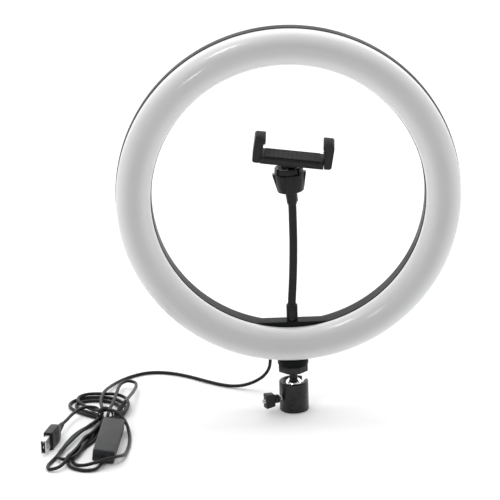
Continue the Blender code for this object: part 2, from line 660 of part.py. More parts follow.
def neck_axis_point(distance):
    """A point on the neck's upper axis, at a distance from the clip's ball centre."""
    return Vector(CLIP_BALL) + distance * Vector((math.sin(NECK_LEAN), 0, math.cos(NECK_LEAN)))


def hose_route(start, end):
    """The gooseneck's centre line between two heights: the lower end upright, the upper end leaning."""
    low = Vector((NECK_X, NECK_Y, NECK_BASE + GAP + LOWER_FERRULE_LENGTH))
    high = neck_axis_point(SOCKET_BOTTOM - GAP - UPPER_FERRULE_LENGTH)
    bottom = Vector((NECK_X, NECK_Y, start))
    top = neck_axis_point(end)
    middle = [low.lerp(high, t) + Vector((0.0012 * math.sin(math.pi * t), 0, 0)) for t in (0.3, 0.6, 0.85)]
    return [bottom, low, *middle, high, top]


def swept_sleeve(points, inner, outer, sides):
    """A tube with a bore, swept along points that run mostly upwards."""
    bm = bmesh.new()
    rings = []
    for k, point in enumerate(points):
        ahead = points[min(k + 1, len(points) - 1)] - points[max(k - 1, 0)]
        turn = Vector((0, 0, 1)).rotation_difference(ahead.normalized()).to_matrix()
        loop = []
        for radius in (outer, inner):
            ends = [Vector((radius * math.cos(a), radius * math.sin(a), 0))
                    for a in (math.tau * n / sides for n in range(sides))]
            loop.append([bm.verts.new(point + turn @ end) for end in ends])
        rings.append(loop)
    for n in range(sides):
        m = (n + 1) % sides
        for (out_a, in_a), (out_b, in_b) in zip(rings, rings[1:]):
            bm.faces.new((out_a[n], out_a[m], out_b[m], out_b[n]))
            bm.faces.new((in_a[m], in_a[n], in_b[n], in_b[m]))
        for (outer_loop, inner_loop) in (rings[0], rings[-1]):
            bm.faces.new((outer_loop[n], inner_loop[n], inner_loop[m], outer_loop[m]))
    return bm


def make_gooseneck(finishes):
    grip = FERRULE_GRIP - GAP
    low = NECK_BASE + GAP + LOWER_FERRULE_LENGTH - grip
    high = SOCKET_BOTTOM - GAP - UPPER_FERRULE_LENGTH + grip
    route = smooth_route(hose_route(low, high), 0.0075)
    hose = swept_sleeve(route, CORE_RADIUS + GAP, HOSE_RADIUS, 14)
    piece("gooseneck_hose", hose, finishes["black"])
    tube("gooseneck_core", hose_route(low + GAP, high - GAP), CORE_RADIUS, finishes["steel"], 0.0075, 2)
    lower = NECK_BASE + GAP
    bore, stud_bore = HOSE_RADIUS + GAP, NECK_STUD_RADIUS + GAP
    outline = [
        (stud_bore, 0), (LOWER_FERRULE_RADIUS - 0.0005, 0), (LOWER_FERRULE_RADIUS, 0.0005),
        (LOWER_FERRULE_RADIUS, LOWER_FERRULE_LENGTH - 0.001), (LOWER_FERRULE_RADIUS - 0.0008, LOWER_FERRULE_LENGTH),
        (bore, LOWER_FERRULE_LENGTH), (bore, LOWER_FERRULE_LENGTH - FERRULE_GRIP),
        (stud_bore, LOWER_FERRULE_LENGTH - FERRULE_GRIP),
    ]
    ferrule = place_mesh(turned(outline, 28, closed=True), Matrix.Translation((NECK_X, NECK_Y, lower)))
    piece("lower_ferrule", ferrule, finishes["black"])
    stud_top = lower + LOWER_FERRULE_LENGTH - FERRULE_GRIP - GAP
    stud = rod(NECK_STUD_RADIUS, NECK_BASE - 0.006, stud_top, 20, (NECK_X, NECK_Y))
    piece("neck_stud", stud, finishes["steel"])


def make_neck_top(neck, finishes):
    """The upper ferrule, the slit socket that holds the clip's ball, and the nut that closes it."""
    top = SOCKET_BOTTOM - GAP
    bottom = top - UPPER_FERRULE_LENGTH
    narrow, wide = UPPER_FERRULE_RADII
    bore = HOSE_RADIUS + GAP
    outline = [
        (bore, bottom), (narrow, bottom), (wide, top), (0, top), (0, bottom + FERRULE_GRIP),
        (bore, bottom + FERRULE_GRIP),
    ]
    # the axis side is open, so the outline runs from the axis round and back to it
    outline = [outline[3], outline[2], outline[1], outline[0], outline[5], outline[4]]
    piece("upper_ferrule", turned(outline, 28), finishes["black"], neck)

    lip = (SOCKET_CAVITY * math.sin(SOCKET_LIP_ANGLE), SOCKET_CAVITY * math.cos(SOCKET_LIP_ANGLE))
    bowl = arc((0, 0), SOCKET_CAVITY, math.pi / 2 - SOCKET_LIP_ANGLE, -math.pi / 2, 9)
    bowl[-1] = (0, -SOCKET_CAVITY)
    shell = [
        (0, SOCKET_BOTTOM), (SOCKET_RADIUS - 0.001, SOCKET_BOTTOM), (SOCKET_RADIUS, SOCKET_BOTTOM + 0.001),
        (SOCKET_RADIUS, COLLAR_BOTTOM), (COLLAR_RADIUS - 0.0004, COLLAR_BOTTOM), (COLLAR_RADIUS, COLLAR_BOTTOM + 0.0004),
        (COLLAR_RADIUS - 0.0006, SOCKET_TOP), (SOCKET_MOUTH_RADIUS, SOCKET_TOP), lip,
    ]
    socket = piece("clip_socket", turned([*shell, *bowl[1:]], 32), finishes["black"], neck)
    for number, bearing in enumerate((math.radians(40), math.radians(130))):
        slit = block((2.4 * COLLAR_RADIUS, SOCKET_SLIT, 0.02), (0, 0, 0.0108))
        place_mesh(slit, Matrix.Rotation(bearing, 4, "Z"))
        boolean(socket, cutter(f"socket_slit_{number}", slit, neck))
    return socket


def make_socket_nut(neck, finishes):
    low, high = SOCKET_BOTTOM, COLLAR_BOTTOM - GAP
    narrow, wide = NUT_RADII
    bore = SOCKET_RADIUS + GAP
    outline = [(bore, low), (narrow - 0.0006, low), (narrow, low + 0.0006), (wide, high - 0.0006),
               (wide - 0.0006, high), (bore, high)]
    nut = piece("socket_nut", turned(outline, 36, closed=True), finishes["black"], neck)
    wide_ear, proud = NUT_EAR
    ears = bmesh.new()
    for k in range(NUT_EARS):
        made = bmesh.ops.create_cube(ears, size=1.0)
        for vert in made["verts"]:
            high_end = vert.co.z > 0
            reach = wide + proud * 0.75 if high_end else narrow
            vert.co.x = reach if vert.co.x > 0 else bore + 0.0006
            vert.co.y *= wide_ear
            vert.co.z = high - 0.0002 if high_end else low + 0.0014
        turn = Matrix.Rotation(math.tau * k / NUT_EARS, 4, "Z")
        bmesh.ops.transform(ears, matrix=turn, verts=made["verts"])
    boolean(nut, cutter("nut_ears", ears, neck), "UNION")
    return nut


# ---------------------------------------------------------------- phone clip

def hook_outline(side):
    """A hook's outline in X and Z: a post with a lip that curls inwards. side is -1 or 1."""
    lip, lip_high = HOOK_LIP
    corner = 0.0026
    base = BODY_BACK + 0.0002
    points = [
        (POST_INNER, base), (POST_OUTER - corner, base),
        *arc((POST_OUTER - corner, base + corner), corner, -math.pi / 2, 0, 3)[1:],
        *arc((POST_OUTER - corner, HOOK_TOP - corner), corner, 0, math.pi / 2, 3),
        (POST_INNER - lip + 0.001, HOOK_TOP), (POST_INNER - lip, HOOK_TOP - 0.001),
        (POST_INNER - lip, HOOK_TOP - lip_high + 0.001), (POST_INNER, HOOK_TOP - lip_high - 0.0008),
    ]
    return [(side * x, z) for x, z in points]


def upright_plate(outline, half_width):
    """A plate whose outline is in X and Z, with its thickness along Y."""
    return place_mesh(plate(outline, -half_width, half_width), Matrix.Rotation(math.pi / 2, 4, "X"))


def make_clip_body(clip, finishes):
    """The bar that the phone lies against, with the fixed hook at its left end."""
    right = POST_INNER - SLIDING
    left = -POST_INNER - LAP
    middle, high = (BODY_BACK + CLIP_FACE) / 2, CLIP_FACE - BODY_BACK
    bar = block((right - left, CLIP_WIDTH, high), ((left + right) / 2, 0, middle))
    round_edges(bar, CLIP_ROUND, 2, lambda e: abs(e.verts[0].co.x - e.verts[1].co.x) > 0.01 and e.verts[0].co.z > middle)
    body = piece("clip_body", bar, finishes["black"], clip)
    boolean(body, cutter("fixed_hook", upright_plate(hook_outline(-1), CLIP_WIDTH / 2 - 0.001), clip), "UNION")
    wall, ceiling = CHANNEL_WALL, BODY_BACK + CHANNEL_DEPTH
    channel = block(
        (right + 0.01 + POST_INNER - wall, CLIP_WIDTH - 2 * wall, ceiling - BODY_BACK + 0.002),
        ((right + 0.01 - POST_INNER + wall) / 2, 0, (ceiling + BODY_BACK - 0.002) / 2),
    )
    boolean(body, cutter("jaw_channel", channel, clip))
    for number, place in enumerate(COVER_SCREWS):
        hole = rod(COVER_SCREW_RADIUS + GAP, ceiling - 0.001, ceiling + 0.0011 + GAP, 12, place)
        boolean(body, cutter(f"pilot_hole_{number}", hole, clip))
    return body


def make_clip_back(clip, finishes):
    """The cover that closes the channel, its two screws, and the stub that stands on the ball."""
    length = POST_INNER - SLIDING + POST_INNER
    cover = block((length, CLIP_WIDTH - 0.0004, COVER_THICKNESS), (-SLIDING / 2, 0, CLIP_BACK + COVER_THICKNESS / 2))
    round_edges(cover, 0.0008, 2, lambda e: e.verts[0].co.z < CLIP_BACK + 0.0001 and e.verts[1].co.z < CLIP_BACK + 0.0001)
    cover = piece("clip_back_cover", cover, finishes["black"], clip)
    seat = SOCKET_CAVITY
    foot = arc((0, 0), seat, math.pi / 2, math.acos(STUB_RADIUS / seat), 3)
    foot[0] = (0, seat)
    outline = [*foot, (STUB_RADIUS, 0.0112), (0.0062, CLIP_BACK - 0.0014), (0.0062, CLIP_BACK - GAP), (0, CLIP_BACK - GAP)]
    piece("clip_stub", turned(outline, 28), finishes["black"], clip)
    tip, face = BODY_BACK + CHANNEL_DEPTH + 0.0011, CLIP_BACK - GAP
    shank, head = COVER_SCREW_RADIUS, COVER_SCREW_RADIUS + 0.0011
    for number, place in enumerate(COVER_SCREWS, 1):
        hole = rod(shank + GAP, CLIP_BACK - 0.001, COVER_FRONT + 0.001, 12, place)
        boolean(cover, cutter(f"cover_hole_{number}", hole, clip))
        screw = turned([(0, face - 0.0012), (head - 0.0006, face - 0.0012), (head, face - 0.0005), (head, face),
                        (shank, face), (shank, tip), (0, tip)], 16)
        screw = place_mesh(screw, Matrix.Translation((*place, 0)))
        piece(f"clip_screw_{number}", screw, finishes["steel"], clip)


def make_jaw(clip, finishes):
    """The sliding hook, with a tongue and two guide rods that run in the bar's channel."""
    jaw = piece("sliding_jaw", upright_plate(hook_outline(1), CLIP_WIDTH / 2 - 0.001), finishes["black"], clip)
    wide, thick = TONGUE
    level = BODY_BACK + CHANNEL_DEPTH / 2
    tongue = block((TONGUE_LENGTH + LAP, wide, thick), (POST_INNER + LAP - (TONGUE_LENGTH + LAP) / 2, 0, level))
    boolean(jaw, cutter("jaw_tongue", tongue, clip), "UNION")
    rod_start, rod_end = POST_INNER - TONGUE_LENGTH, POST_INNER + 0.003
    for number, y in enumerate((-ROD_SPREAD, ROD_SPREAD), 1):
        turn = Matrix.Translation((0, y, level)) @ Matrix.Rotation(math.pi / 2, 4, "Y")
        hole = place_mesh(rod(ROD_RADIUS + GAP, POST_INNER - 0.002, rod_end + GAP, 12), turn)
        boolean(jaw, cutter(f"rod_hole_{number}", hole, clip))
        piece(f"guide_rod_{number}", place_mesh(rod(ROD_RADIUS, rod_start, rod_end, 12), turn), finishes["steel"], clip)
    return jaw


def make_jaw_spring(clip, finishes):
    """The spring that pulls the jaw shut, between the channel's end wall and the tongue."""
    start, end = -POST_INNER + CHANNEL_WALL + GAP, POST_INNER - TONGUE_LENGTH - GAP
    level, turns, radius = BODY_BACK + CHANNEL_DEPTH / 2, 6, 0.0011
    points = []
    for k in range(turns * 8 + 1):
        bearing = math.tau * k / 8
        along_x = start + 0.0004 + (end - start - 0.0008) * k / (turns * 8)
        points.append(Vector((along_x, radius * math.cos(bearing), level + radius * math.sin(bearing))))
    curve = bpy.data.curves.new("jaw_spring", "CURVE")
    curve.dimensions = "3D"
    spline = curve.splines.new("POLY")
    spline.points.add(len(points) - 1)
    for point, co in zip(spline.points, points):
        point.co = (*co, 1.0)
    curve.bevel_depth = 0.00025
    curve.bevel_resolution = 1
    curve.use_fill_caps = True
    curve.materials.append(finishes["steel"])
    spring = bpy.data.objects.new("jaw_spring", curve)
    spring.parent = clip
    bpy.context.scene.collection.objects.link(spring)


def make_clip_pads(clip, finishes):
    low = CLIP_FACE + GAP
    pad = block((PHONE_GAP - 0.0072, CLIP_WIDTH - 0.0038, PAD_THICKNESS), (0, 0, low + PAD_THICKNESS / 2))
    for vert in pad.verts:
        if vert.co.z > low + PAD_THICKNESS / 2:
            vert.co.x *= 0.965
            vert.co.y *= 0.86
    piece("clip_pad", pad, finishes["rubber"], clip)
    rise, start = HOOK_REACH - HOOK_LIP[1] - 0.0045, CLIP_FACE + 0.002
    for name, side in (("fixed_hook_pad", -1), ("jaw_pad", 1)):
        x = side * (POST_INNER - GAP - PAD_THICKNESS / 2)
        hook_pad = block((PAD_THICKNESS, CLIP_WIDTH - 0.005, rise), (x, 0, start + rise / 2))
        piece(name, round_edges(hook_pad, 0.0003, 1), finishes["rubber"], clip)


def make_clip(neck, clip, finishes):
    ball = turned(arc((0, 0), CLIP_BALL_RADIUS, -math.pi / 2, math.pi / 2, 10), 24)
    piece("clip_ball", ball, finishes["black"], neck)
    make_clip_body(clip, finishes)
    make_clip_back(clip, finishes)
    make_jaw(clip, finishes)
    make_jaw_spring(clip, finishes)
    make_clip_pads(clip, finishes)


# ---------------------------------------------------------------- controller and plug

def make_shell(name, low, high, body, finishes):
    """Half of the controller's case, open towards the seam."""
    long, wide, tall = CONTROLLER_SIZE
    bm = block((long, wide, high - low), (0, 0, (low + high) / 2))
    outside = (lambda v: v.co.z > high - 1e-6) if high > 0 else (lambda v: v.co.z < low + 1e-6)
    round_edges(bm, 0.0016, 3, lambda e: all(outside(v) for v in e.verts) or abs(e.verts[0].co.z - e.verts[1].co.z) > 0.002)
    shell = piece(name, bm, finishes["black"], body)
    seam = low if high > 0 else high
    deep = (tall / 2 - SHELL_WALL - abs(seam)) + 0.002
    centre = seam + math.copysign(deep / 2 - 0.002, high if high > 0 else low)
    hollow = block((long - 2 * SHELL_WALL, wide - 2 * SHELL_WALL, deep), (0, 0, centre))
    boolean(shell, cutter(name + "_hollow", hollow, body))
    return shell


def make_controller(body, finishes):
    long, wide, tall = CONTROLLER_SIZE
    seam = GAP / 2
    make_shell("controller_top", seam, tall / 2, body, finishes)
    under = make_shell("controller_base", -tall / 2, -seam, body, finishes)
    board = block((long - 2 * SHELL_WALL - 0.004, wide - 2 * SHELL_WALL - 2 * GAP, 0.0012), (0, 0, -0.0004))
    piece("controller_board", board, finishes["board"], body)
    floor = -tall / 2 + SHELL_WALL
    for number in range(3):
        x = (number - 1) * BUTTON_PITCH
        hole = rod(BUTTON_RADIUS + SLIDING, -tall / 2 - 0.002, floor + 0.001, 20, (x, 0))
        boolean(under, cutter(f"button_hole_{number}", hole, body))
        outline = [
            (0, -tall / 2 - BUTTON_RISE), (BUTTON_RADIUS - 0.0003, -tall / 2 - BUTTON_RISE),
            (BUTTON_RADIUS, -tall / 2 - BUTTON_RISE + 0.0003), (BUTTON_RADIUS, floor + GAP),
            (BUTTON_RADIUS + 0.0009, floor + GAP), (BUTTON_RADIUS + 0.0009, floor + 0.001), (0, floor + 0.001),
        ]
        button = piece(f"button_{number + 1}", turned(outline, 20), finishes["rubber"], body)
        button.location.x = x


def make_reliefs(body, finishes):
    half = CONTROLLER_SIZE[0] / 2
    route = smooth_route(millimetres(RELIEF_IN_ROUTE), 0.002)
    incoming = tube("relief_in", route, 1.0, finishes["rubber"], 0.002, 2)
    points = incoming.data.splines[0].points
    for number, point in enumerate(points):
        share = number / (len(points) - 1)
        point.radius = RELIEF_IN_RADII[0] + (RELIEF_IN_RADII[1] - RELIEF_IN_RADII[0]) * share
    outgoing = turned([(0, half + GAP), (0.0022, half + GAP), (0.0019, half + RELIEF_OUT_LENGTH),
                       (0, half + RELIEF_OUT_LENGTH)], 16)
    place_mesh(outgoing, Matrix.Translation((0, 0, -RELIEF_OUT_DROP)) @ Matrix.Rotation(math.pi / 2, 4, "Y"))
    piece("relief_out", outgoing, finishes["rubber"], body)


def make_plug(plug, finishes):
    """The plug lies on its narrow edge: a moulded grip, a metal shell and a contact tongue inside it."""
    long, thick, tall = PLUG_BODY
    start = PLUG_RELIEF_LENGTH
    bm = round_edges(block((long, thick, tall), (start + long / 2, 0, 0)), 0.0018, 2)
    grip = piece("plug_grip", bm, finishes["black"], plug)
    taper = turned([(0, GAP), (0.0021, GAP), (0.0036, start + LAP), (0, start + LAP)], 16)
    boolean(grip, cutter("plug_taper", place_mesh(taper, Matrix.Rotation(math.pi / 2, 4, "Y")), plug), "UNION")
    shell_long, shell_thick, shell_tall = PLUG_SHELL
    front = start + long + GAP
    shell = piece("plug_shell", block(PLUG_SHELL, (front + shell_long / 2, 0, 0)), finishes["plug_metal"], plug)
    hollow = block(
        (shell_long, shell_thick - 2 * PLUG_SHELL_WALL, shell_tall - 2 * PLUG_SHELL_WALL),
        (front + shell_long / 2 + 0.001, 0, 0),
    )
    boolean(shell, cutter("plug_hollow", hollow, plug))
    inner = shell_tall - 2 * PLUG_SHELL_WALL - 2 * GAP
    tongue = block((shell_long - 0.003, 0.0015, inner), (front + 0.001 + GAP + (shell_long - 0.003) / 2, 0.0007, 0))
    piece("plug_tongue", tongue, finishes["board"], plug)


# ---------------------------------------------------------------- cord

def make_cord(finishes):
    """The loose cord: tubes where it lies singly, and a flat solid for each bunch of loops."""
    runs = (
        ("lead_drop", LEAD_DROP), ("lead_run", LEAD_RUN), ("controller_run", CONTROLLER_RUN),
        ("right_loop", RIGHT_LOOP), ("controller_tail", CONTROLLER_TAIL), ("plug_run", PLUG_RUN),
    )
    for name, points in runs:
        tube(name, millimetres(points), CORD_RADIUS, finishes["cord"], 0.0088, 2)
    for name, outline in (("upper_loops", UPPER_LOOPS), ("lower_loops", LOWER_LOOPS)):
        flat = [(x * 0.001, y * 0.001) for x, y in outline]
        bm = round_edges(plate(flat, GAP, HANK_HEIGHT), 0.0014, 1, lambda e: e.calc_face_angle() > 1.2)
        piece(name, bm, finishes["cord"])
    ring = turned(arc((TIE_RADIUS, 0), TIE_THICKNESS, 0, math.tau, 8)[:-1], 24, closed=True)
    place_mesh(ring, Matrix.Translation(TIE_PLACE) @ Matrix.Rotation(math.pi / 2, 4, "X"))
    piece("cord_tie", ring, finishes["rubber"])


def build():
    clear_scene()
    finishes = make_finishes()
    ring = frame("ring_frame", (0, 0, RING_CENTRE), (math.pi / 2, 0, 0))
    neck = frame("neck_frame", CLIP_BALL, (0, NECK_LEAN, 0))
    clip = frame("clip_frame", CLIP_BALL, (CLIP_TILT, CLIP_ROLL, 0))
    body = frame("controller_frame", CONTROLLER_PLACE, (-CONTROLLER_ROLL, 0, CONTROLLER_HEADING))
    plug = frame("plug_frame", PLUG_PLACE, (0, 0, PLUG_HEADING))
    make_diffuser(ring, finishes)
    make_housing(ring, finishes)
    make_led_board(ring, finishes)
    make_housing_screws(finishes)
    make_gland(finishes)
    make_inserts(finishes)
    make_cup(finishes)
    make_ball_seat(finishes)
    make_ball_and_stem(finishes)
    make_lock_disc(finishes)
    make_knob(finishes)
    make_gooseneck(finishes)
    make_neck_top(neck, finishes)
    make_socket_nut(neck, finishes)
    make_clip(neck, clip, finishes)
    make_controller(body, finishes)
    make_reliefs(body, finishes)
    make_plug(plug, finishes)
    make_cord(finishes)
    bpy.context.view_layer.update()


build()
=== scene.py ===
import math

import bmesh
import bpy
from mathutils import Euler, Matrix, Vector


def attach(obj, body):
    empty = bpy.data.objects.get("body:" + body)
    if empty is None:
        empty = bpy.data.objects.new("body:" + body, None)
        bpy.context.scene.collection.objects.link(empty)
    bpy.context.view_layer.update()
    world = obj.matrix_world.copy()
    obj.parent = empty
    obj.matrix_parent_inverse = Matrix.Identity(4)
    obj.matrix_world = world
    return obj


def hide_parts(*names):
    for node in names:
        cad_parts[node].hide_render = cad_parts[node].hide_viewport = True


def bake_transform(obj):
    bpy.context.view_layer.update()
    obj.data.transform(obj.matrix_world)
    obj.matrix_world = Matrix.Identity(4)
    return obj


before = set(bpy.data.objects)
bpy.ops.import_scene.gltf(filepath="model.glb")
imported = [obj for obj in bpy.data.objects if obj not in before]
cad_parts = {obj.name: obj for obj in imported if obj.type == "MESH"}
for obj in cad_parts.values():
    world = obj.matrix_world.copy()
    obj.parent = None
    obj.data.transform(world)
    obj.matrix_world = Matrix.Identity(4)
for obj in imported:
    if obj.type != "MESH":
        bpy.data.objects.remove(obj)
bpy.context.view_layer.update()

# Where each sub-assembly sits, in metres. The light faces -Y and stands on Z = 0.
RING = Matrix.Translation((0, 0, 0.2012)) @ Matrix.Rotation(math.pi / 2, 4, "X")
KNOB = Matrix.Translation((0, 0, 0.013)) @ Euler((0, math.pi / 2, math.radians(206))).to_matrix().to_4x4()
CLIP_BALL = Vector((0.0015, -0.0045, 0.2185))
NECK = Matrix.Translation(CLIP_BALL) @ Matrix.Rotation(math.radians(-4), 4, "Y")
CLIP = Matrix.Translation(CLIP_BALL) @ Euler((math.radians(22), math.radians(8), 0)).to_matrix().to_4x4()
CONTROLLER = (
    Matrix.Translation((-0.163, -0.074, 0.0074))
    @ Euler((math.radians(-8), 0, math.radians(265))).to_matrix().to_4x4()
)
PLUG = Matrix.Translation((-0.2053, -0.0375, 0.0083)) @ Matrix.Rotation(math.radians(255), 4, "Z")

# Cord routes, in millimetres: down the back of the ring, through the loops to the controller, on to the plug.
LEAD_DROP = (
    (-19, 27.7, 66), (-19, 31, 66), (-19, 35, 62.8), (-19, 38, 57), (-19.2, 39.6, 48), (-19.6, 40.2, 36),
    (-21, 41, 24), (-26, 43, 15.5),
)
LONG_CORD = (
    (-32.7, 45.5, 9.8), (-39.8, 47.9, 5.9), (-47.6, 50.4, 3.3), (-55.4, 53.5, 2),
    (-62.9, 57.3, 1.6), (-70.1, 61.8, 1.6), (-77, 66.9, 1.6), (-83.6, 72.2, 1.6),
    (-90.2, 77.6, 1.6), (-97, 82.7, 1.6), (-104.2, 87.3, 1.6), (-111.8, 91.1, 1.6),
    (-119.9, 93.7, 1.6), (-128.3, 94.7, 1.6), (-136.7, 93.2, 1.6), (-144.2, 89.4, 1.6),
    (-150.8, 84, 1.8), (-156.3, 77.5, 2.2), (-160.9, 70.4, 2.7), (-164.6, 62.8, 3.5),
    (-167.5, 54.9, 4.5), (-169.8, 46.7, 5.7), (-171.5, 38.5, 6.7), (-172.8, 30.1, 7.1),
    (-173.6, 21.6, 7.5), (-173.6, 13.1, 7.8), (-172.8, 4.7, 8), (-171.5, -3.8, 8.1),
    (-170.9, -12.2, 7.7), (-172.6, -20.5, 7), (-176.6, -27.9, 5.9), (-181.5, -34.9, 5.1),
    (-186, -42.1, 4.6), (-189.7, -49.7, 4.4), (-192.9, -57.6, 4.4), (-195.8, -65.6, 4.4),
    (-198.8, -73.6, 4.4), (-201.8, -81.5, 4.5), (-204.5, -89.6, 4.3), (-205.5, -98, 3.9),
    (-201.1, -104.7, 4), (-193.6, -102.5, 4.5), (-189.6, -95.1, 3.8), (-187.1, -87, 3.8),
    (-185, -78.8, 4.5), (-183.2, -70.4, 4.5), (-182.3, -62, 4), (-180.6, -53.8, 2.7),
    (-177.9, -45.8, 1.7), (-174.4, -38, 1.6), (-170.1, -30.7, 1.6), (-165.3, -23.6, 1.7),
    (-160.1, -16.9, 1.7), (-155.4, -9.8, 1.6), (-152.5, -1.9, 1.6), (-151.5, 6.6, 1.6),
    (-152.3, 15, 1.6), (-154.8, 23.2, 1.6), (-159.4, 30.2, 1.6), (-166.1, 35.5, 1.6),
    (-174.1, 38.3, 1.6), (-182.6, 38.9, 1.6), (-190.8, 37, 1.6), (-197.9, 32.5, 1.6),
    (-202, 25.1, 1.6), (-201.4, 16.8, 1.6), (-197.3, 9.3, 1.6), (-191.7, 3, 1.6),
    (-185.4, -2.7, 1.6), (-178.7, -7.9, 1.6), (-170.9, -11.4, 1.6), (-162.6, -11, 1.6),
    (-156.8, -5, 1.6), (-155.1, 3.2, 1.6), (-156.2, 11.7, 1.6), (-159.6, 19.4, 1.6),
    (-165.4, 25.6, 1.6), (-173, 29.4, 1.6), (-181.4, 30.6, 1.6), (-189.7, 29.1, 1.6),
    (-195.8, 23.5, 1.6), (-195.3, 15.3, 1.6), (-190.3, 8.5, 1.7), (-184.4, 2.4, 2.2),
    (-178.8, -3.9, 3.2), (-175.1, -11.3, 4.4), (-175.7, -19.5, 2.7), (-180.4, -26.5, 1.8),
    (-185.9, -32.9, 1.6), (-190.7, -40, 1.6), (-194.4, -47.7, 1.6), (-197.3, -55.7, 1.6),
    (-199.8, -63.8, 1.6), (-201.9, -72, 1.6), (-203.9, -80.3, 1.6), (-206, -88.6, 1.6),
    (-208.5, -96.7, 1.6), (-211.4, -104.7, 1.6), (-213.6, -112.9, 1.6), (-211.2, -120.7, 2.1),
    (-203.5, -120.6, 3.9), (-198.7, -114, 5.6), (-196.3, -106, 7.3), (-194.3, -97.8, 6.1),
    (-192, -89.7, 5.2), (-189.4, -81.6, 5.1), (-186.7, -73.5, 5.9), (-183.9, -65.6, 7.1),
    (-180.2, -58, 6.6), (-176.8, -50.2, 6.4), (-173.8, -42.2, 6.9), (-171.8, -34, 6.5),
    (-169, -26.1, 5.2), (-163.9, -19.3, 4.6), (-158.1, -13.1, 4.6), (-153, -6.3, 4.5),
    (-150, 1.6, 4.2), (-149.1, 10.1, 4), (-149.5, 18.5, 3.9), (-151.6, 26.8, 4.1),
    (-156.2, 33.9, 4.1), (-163.1, 38.8, 4), (-171.3, 41, 3.6), (-179.7, 41.1, 4.1),
    (-187.9, 38.8, 4.6), (-194, 33.1, 4.7), (-194.7, 24.8, 4.6), (-191.2, 17.1, 4.4),
    (-186.6, 9.9, 4.5), (-182.1, 2.7, 5.2), (-178, -4.5, 6.8), (-173.6, -11.3, 9.5),
    (-168.3, -17.5, 11.9), (-162.3, -23.1, 14.1), (-156.1, -28.8, 13.4), (-151.2, -34.6, 9.8),
    (-147.9, -41.4, 5.8), (-146.3, -49.2, 3), (-145.5, -57.6, 1.8), (-145.4, -66.1, 1.6),
    (-145.7, -74.6, 1.6), (-146.5, -83.1, 1.7), (-147.7, -91.5, 2.2), (-149.4, -99.6, 3.8),
    (-152.2, -107.3, 6.3), (-157.1, -113.9, 8.1), (-164.3, -118.3, 8.2), (-172.5, -119.7, 6.5),
    (-180.5, -118.5, 4), (-187.7, -114.4, 2.3), (-192, -107.3, 1.7), (-192.6, -98.9, 1.6),
    (-190.6, -90.6, 1.6), (-187.5, -82.7, 1.6), (-183.8, -75, 1.6), (-179.8, -67.5, 1.6),
    (-176.4, -59.7, 1.6), (-174, -51.6, 1.9), (-172.5, -43.2, 2.7), (-170.2, -35.3, 4.3),
    (-167, -27.9, 6.7), (-165.9, -19.5, 8), (-165.1, -11.1, 8.2), (-164.2, -2.6, 8.1),
    (-163.1, 5.8, 7.8), (-162, 14.3, 7.6), (-161.2, 22.7, 7.5), (-160.4, 31.2, 7.3),
    (-159.6, 39.7, 7.2), (-158.7, 48.1, 7), (-156.8, 56.4, 6.9), (-151.6, 62.9, 6.7),
    (-144.6, 59.9, 6.2), (-143, 51.6, 6.4), (-143.5, 43.2, 7.3), (-144.5, 34.8, 8.4),
    (-145.5, 26.4, 9.7), (-146.7, 18.1, 11.1), (-147.9, 9.8, 12.5), (-149.2, 1.5, 13.9),
    (-150.6, -6.8, 15),
)
PLUG_CORD = (
    (-166.9, -117.6, 4.6), (-171.9, -123.9, 2.5), (-180.3, -124.7, 1.7), (-188.3, -121.4, 1.6),
    (-194.2, -115.2, 1.6), (-197.1, -107.1, 1.6), (-196.5, -98.5, 1.6), (-194, -90.2, 1.6),
    (-190.6, -82.2, 1.6), (-186.9, -74.4, 1.6), (-182.8, -66.8, 1.6), (-179.2, -58.9, 1.7),
    (-176.7, -50.7, 2.9), (-175.1, -42.3, 4.2), (-173.8, -33.8, 4.2), (-172, -25.4, 3.9),
    (-171.2, -16.8, 4.3), (-172.5, -8.3, 5.4), (-176.9, -1.4, 7.6), (-185.1, -0.4, 8.6),
    (-192.2, -5.2, 8.3), (-196.7, -12.5, 8), (-199.7, -20.6, 8), (-202.2, -28.9, 8.2),
    (-205.2, -37, 8.3),
)
JACKET = 0.0015  # the cord's radius


# ---------------------------------------------------------------- bench work

def clear_selection():
    if bpy.context.mode != "OBJECT":
        bpy.ops.object.mode_set(mode="OBJECT")
    bpy.ops.object.select_all(action="DESELECT")


def take(obj):
    """Selects one piece, and only that one."""
    clear_selection()
    obj.select_set(True)
    bpy.context.view_layer.objects.active = obj
    return obj


def open_mesh(obj):
    take(obj)
    bpy.ops.object.mode_set(mode="EDIT")


def close_mesh():
    bpy.ops.object.mode_set(mode="OBJECT")


def label(name):
    obj = bpy.context.object
    obj.name = name
    obj.data.name = name
    return obj


def choose(kind, test):
    """In an open mesh, selects the points, edges or faces that pass the test."""
    bpy.ops.mesh.select_mode(type=kind)
    bpy.ops.mesh.select_all(action="DESELECT")
    mesh = bmesh.from_edit_mesh(bpy.context.object.data)
    for item in {"VERT": mesh.verts, "EDGE": mesh.edges, "FACE": mesh.faces}[kind]:
        if test(item):
            item.select_set(True)
    mesh.select_flush_mode()
    bmesh.update_edit_mesh(bpy.context.object.data)


def middle(edge):
    return (edge.verts[0].co + edge.verts[1].co) / 2


def tidy(obj, reach=1e-6):
    """Merges doubled points and turns every face outwards."""
    open_mesh(obj)
    bpy.ops.mesh.select_all(action="SELECT")
    bpy.ops.mesh.remove_doubles(threshold=reach)
    bpy.ops.mesh.normals_make_consistent(inside=False)
    close_mesh()
    return obj


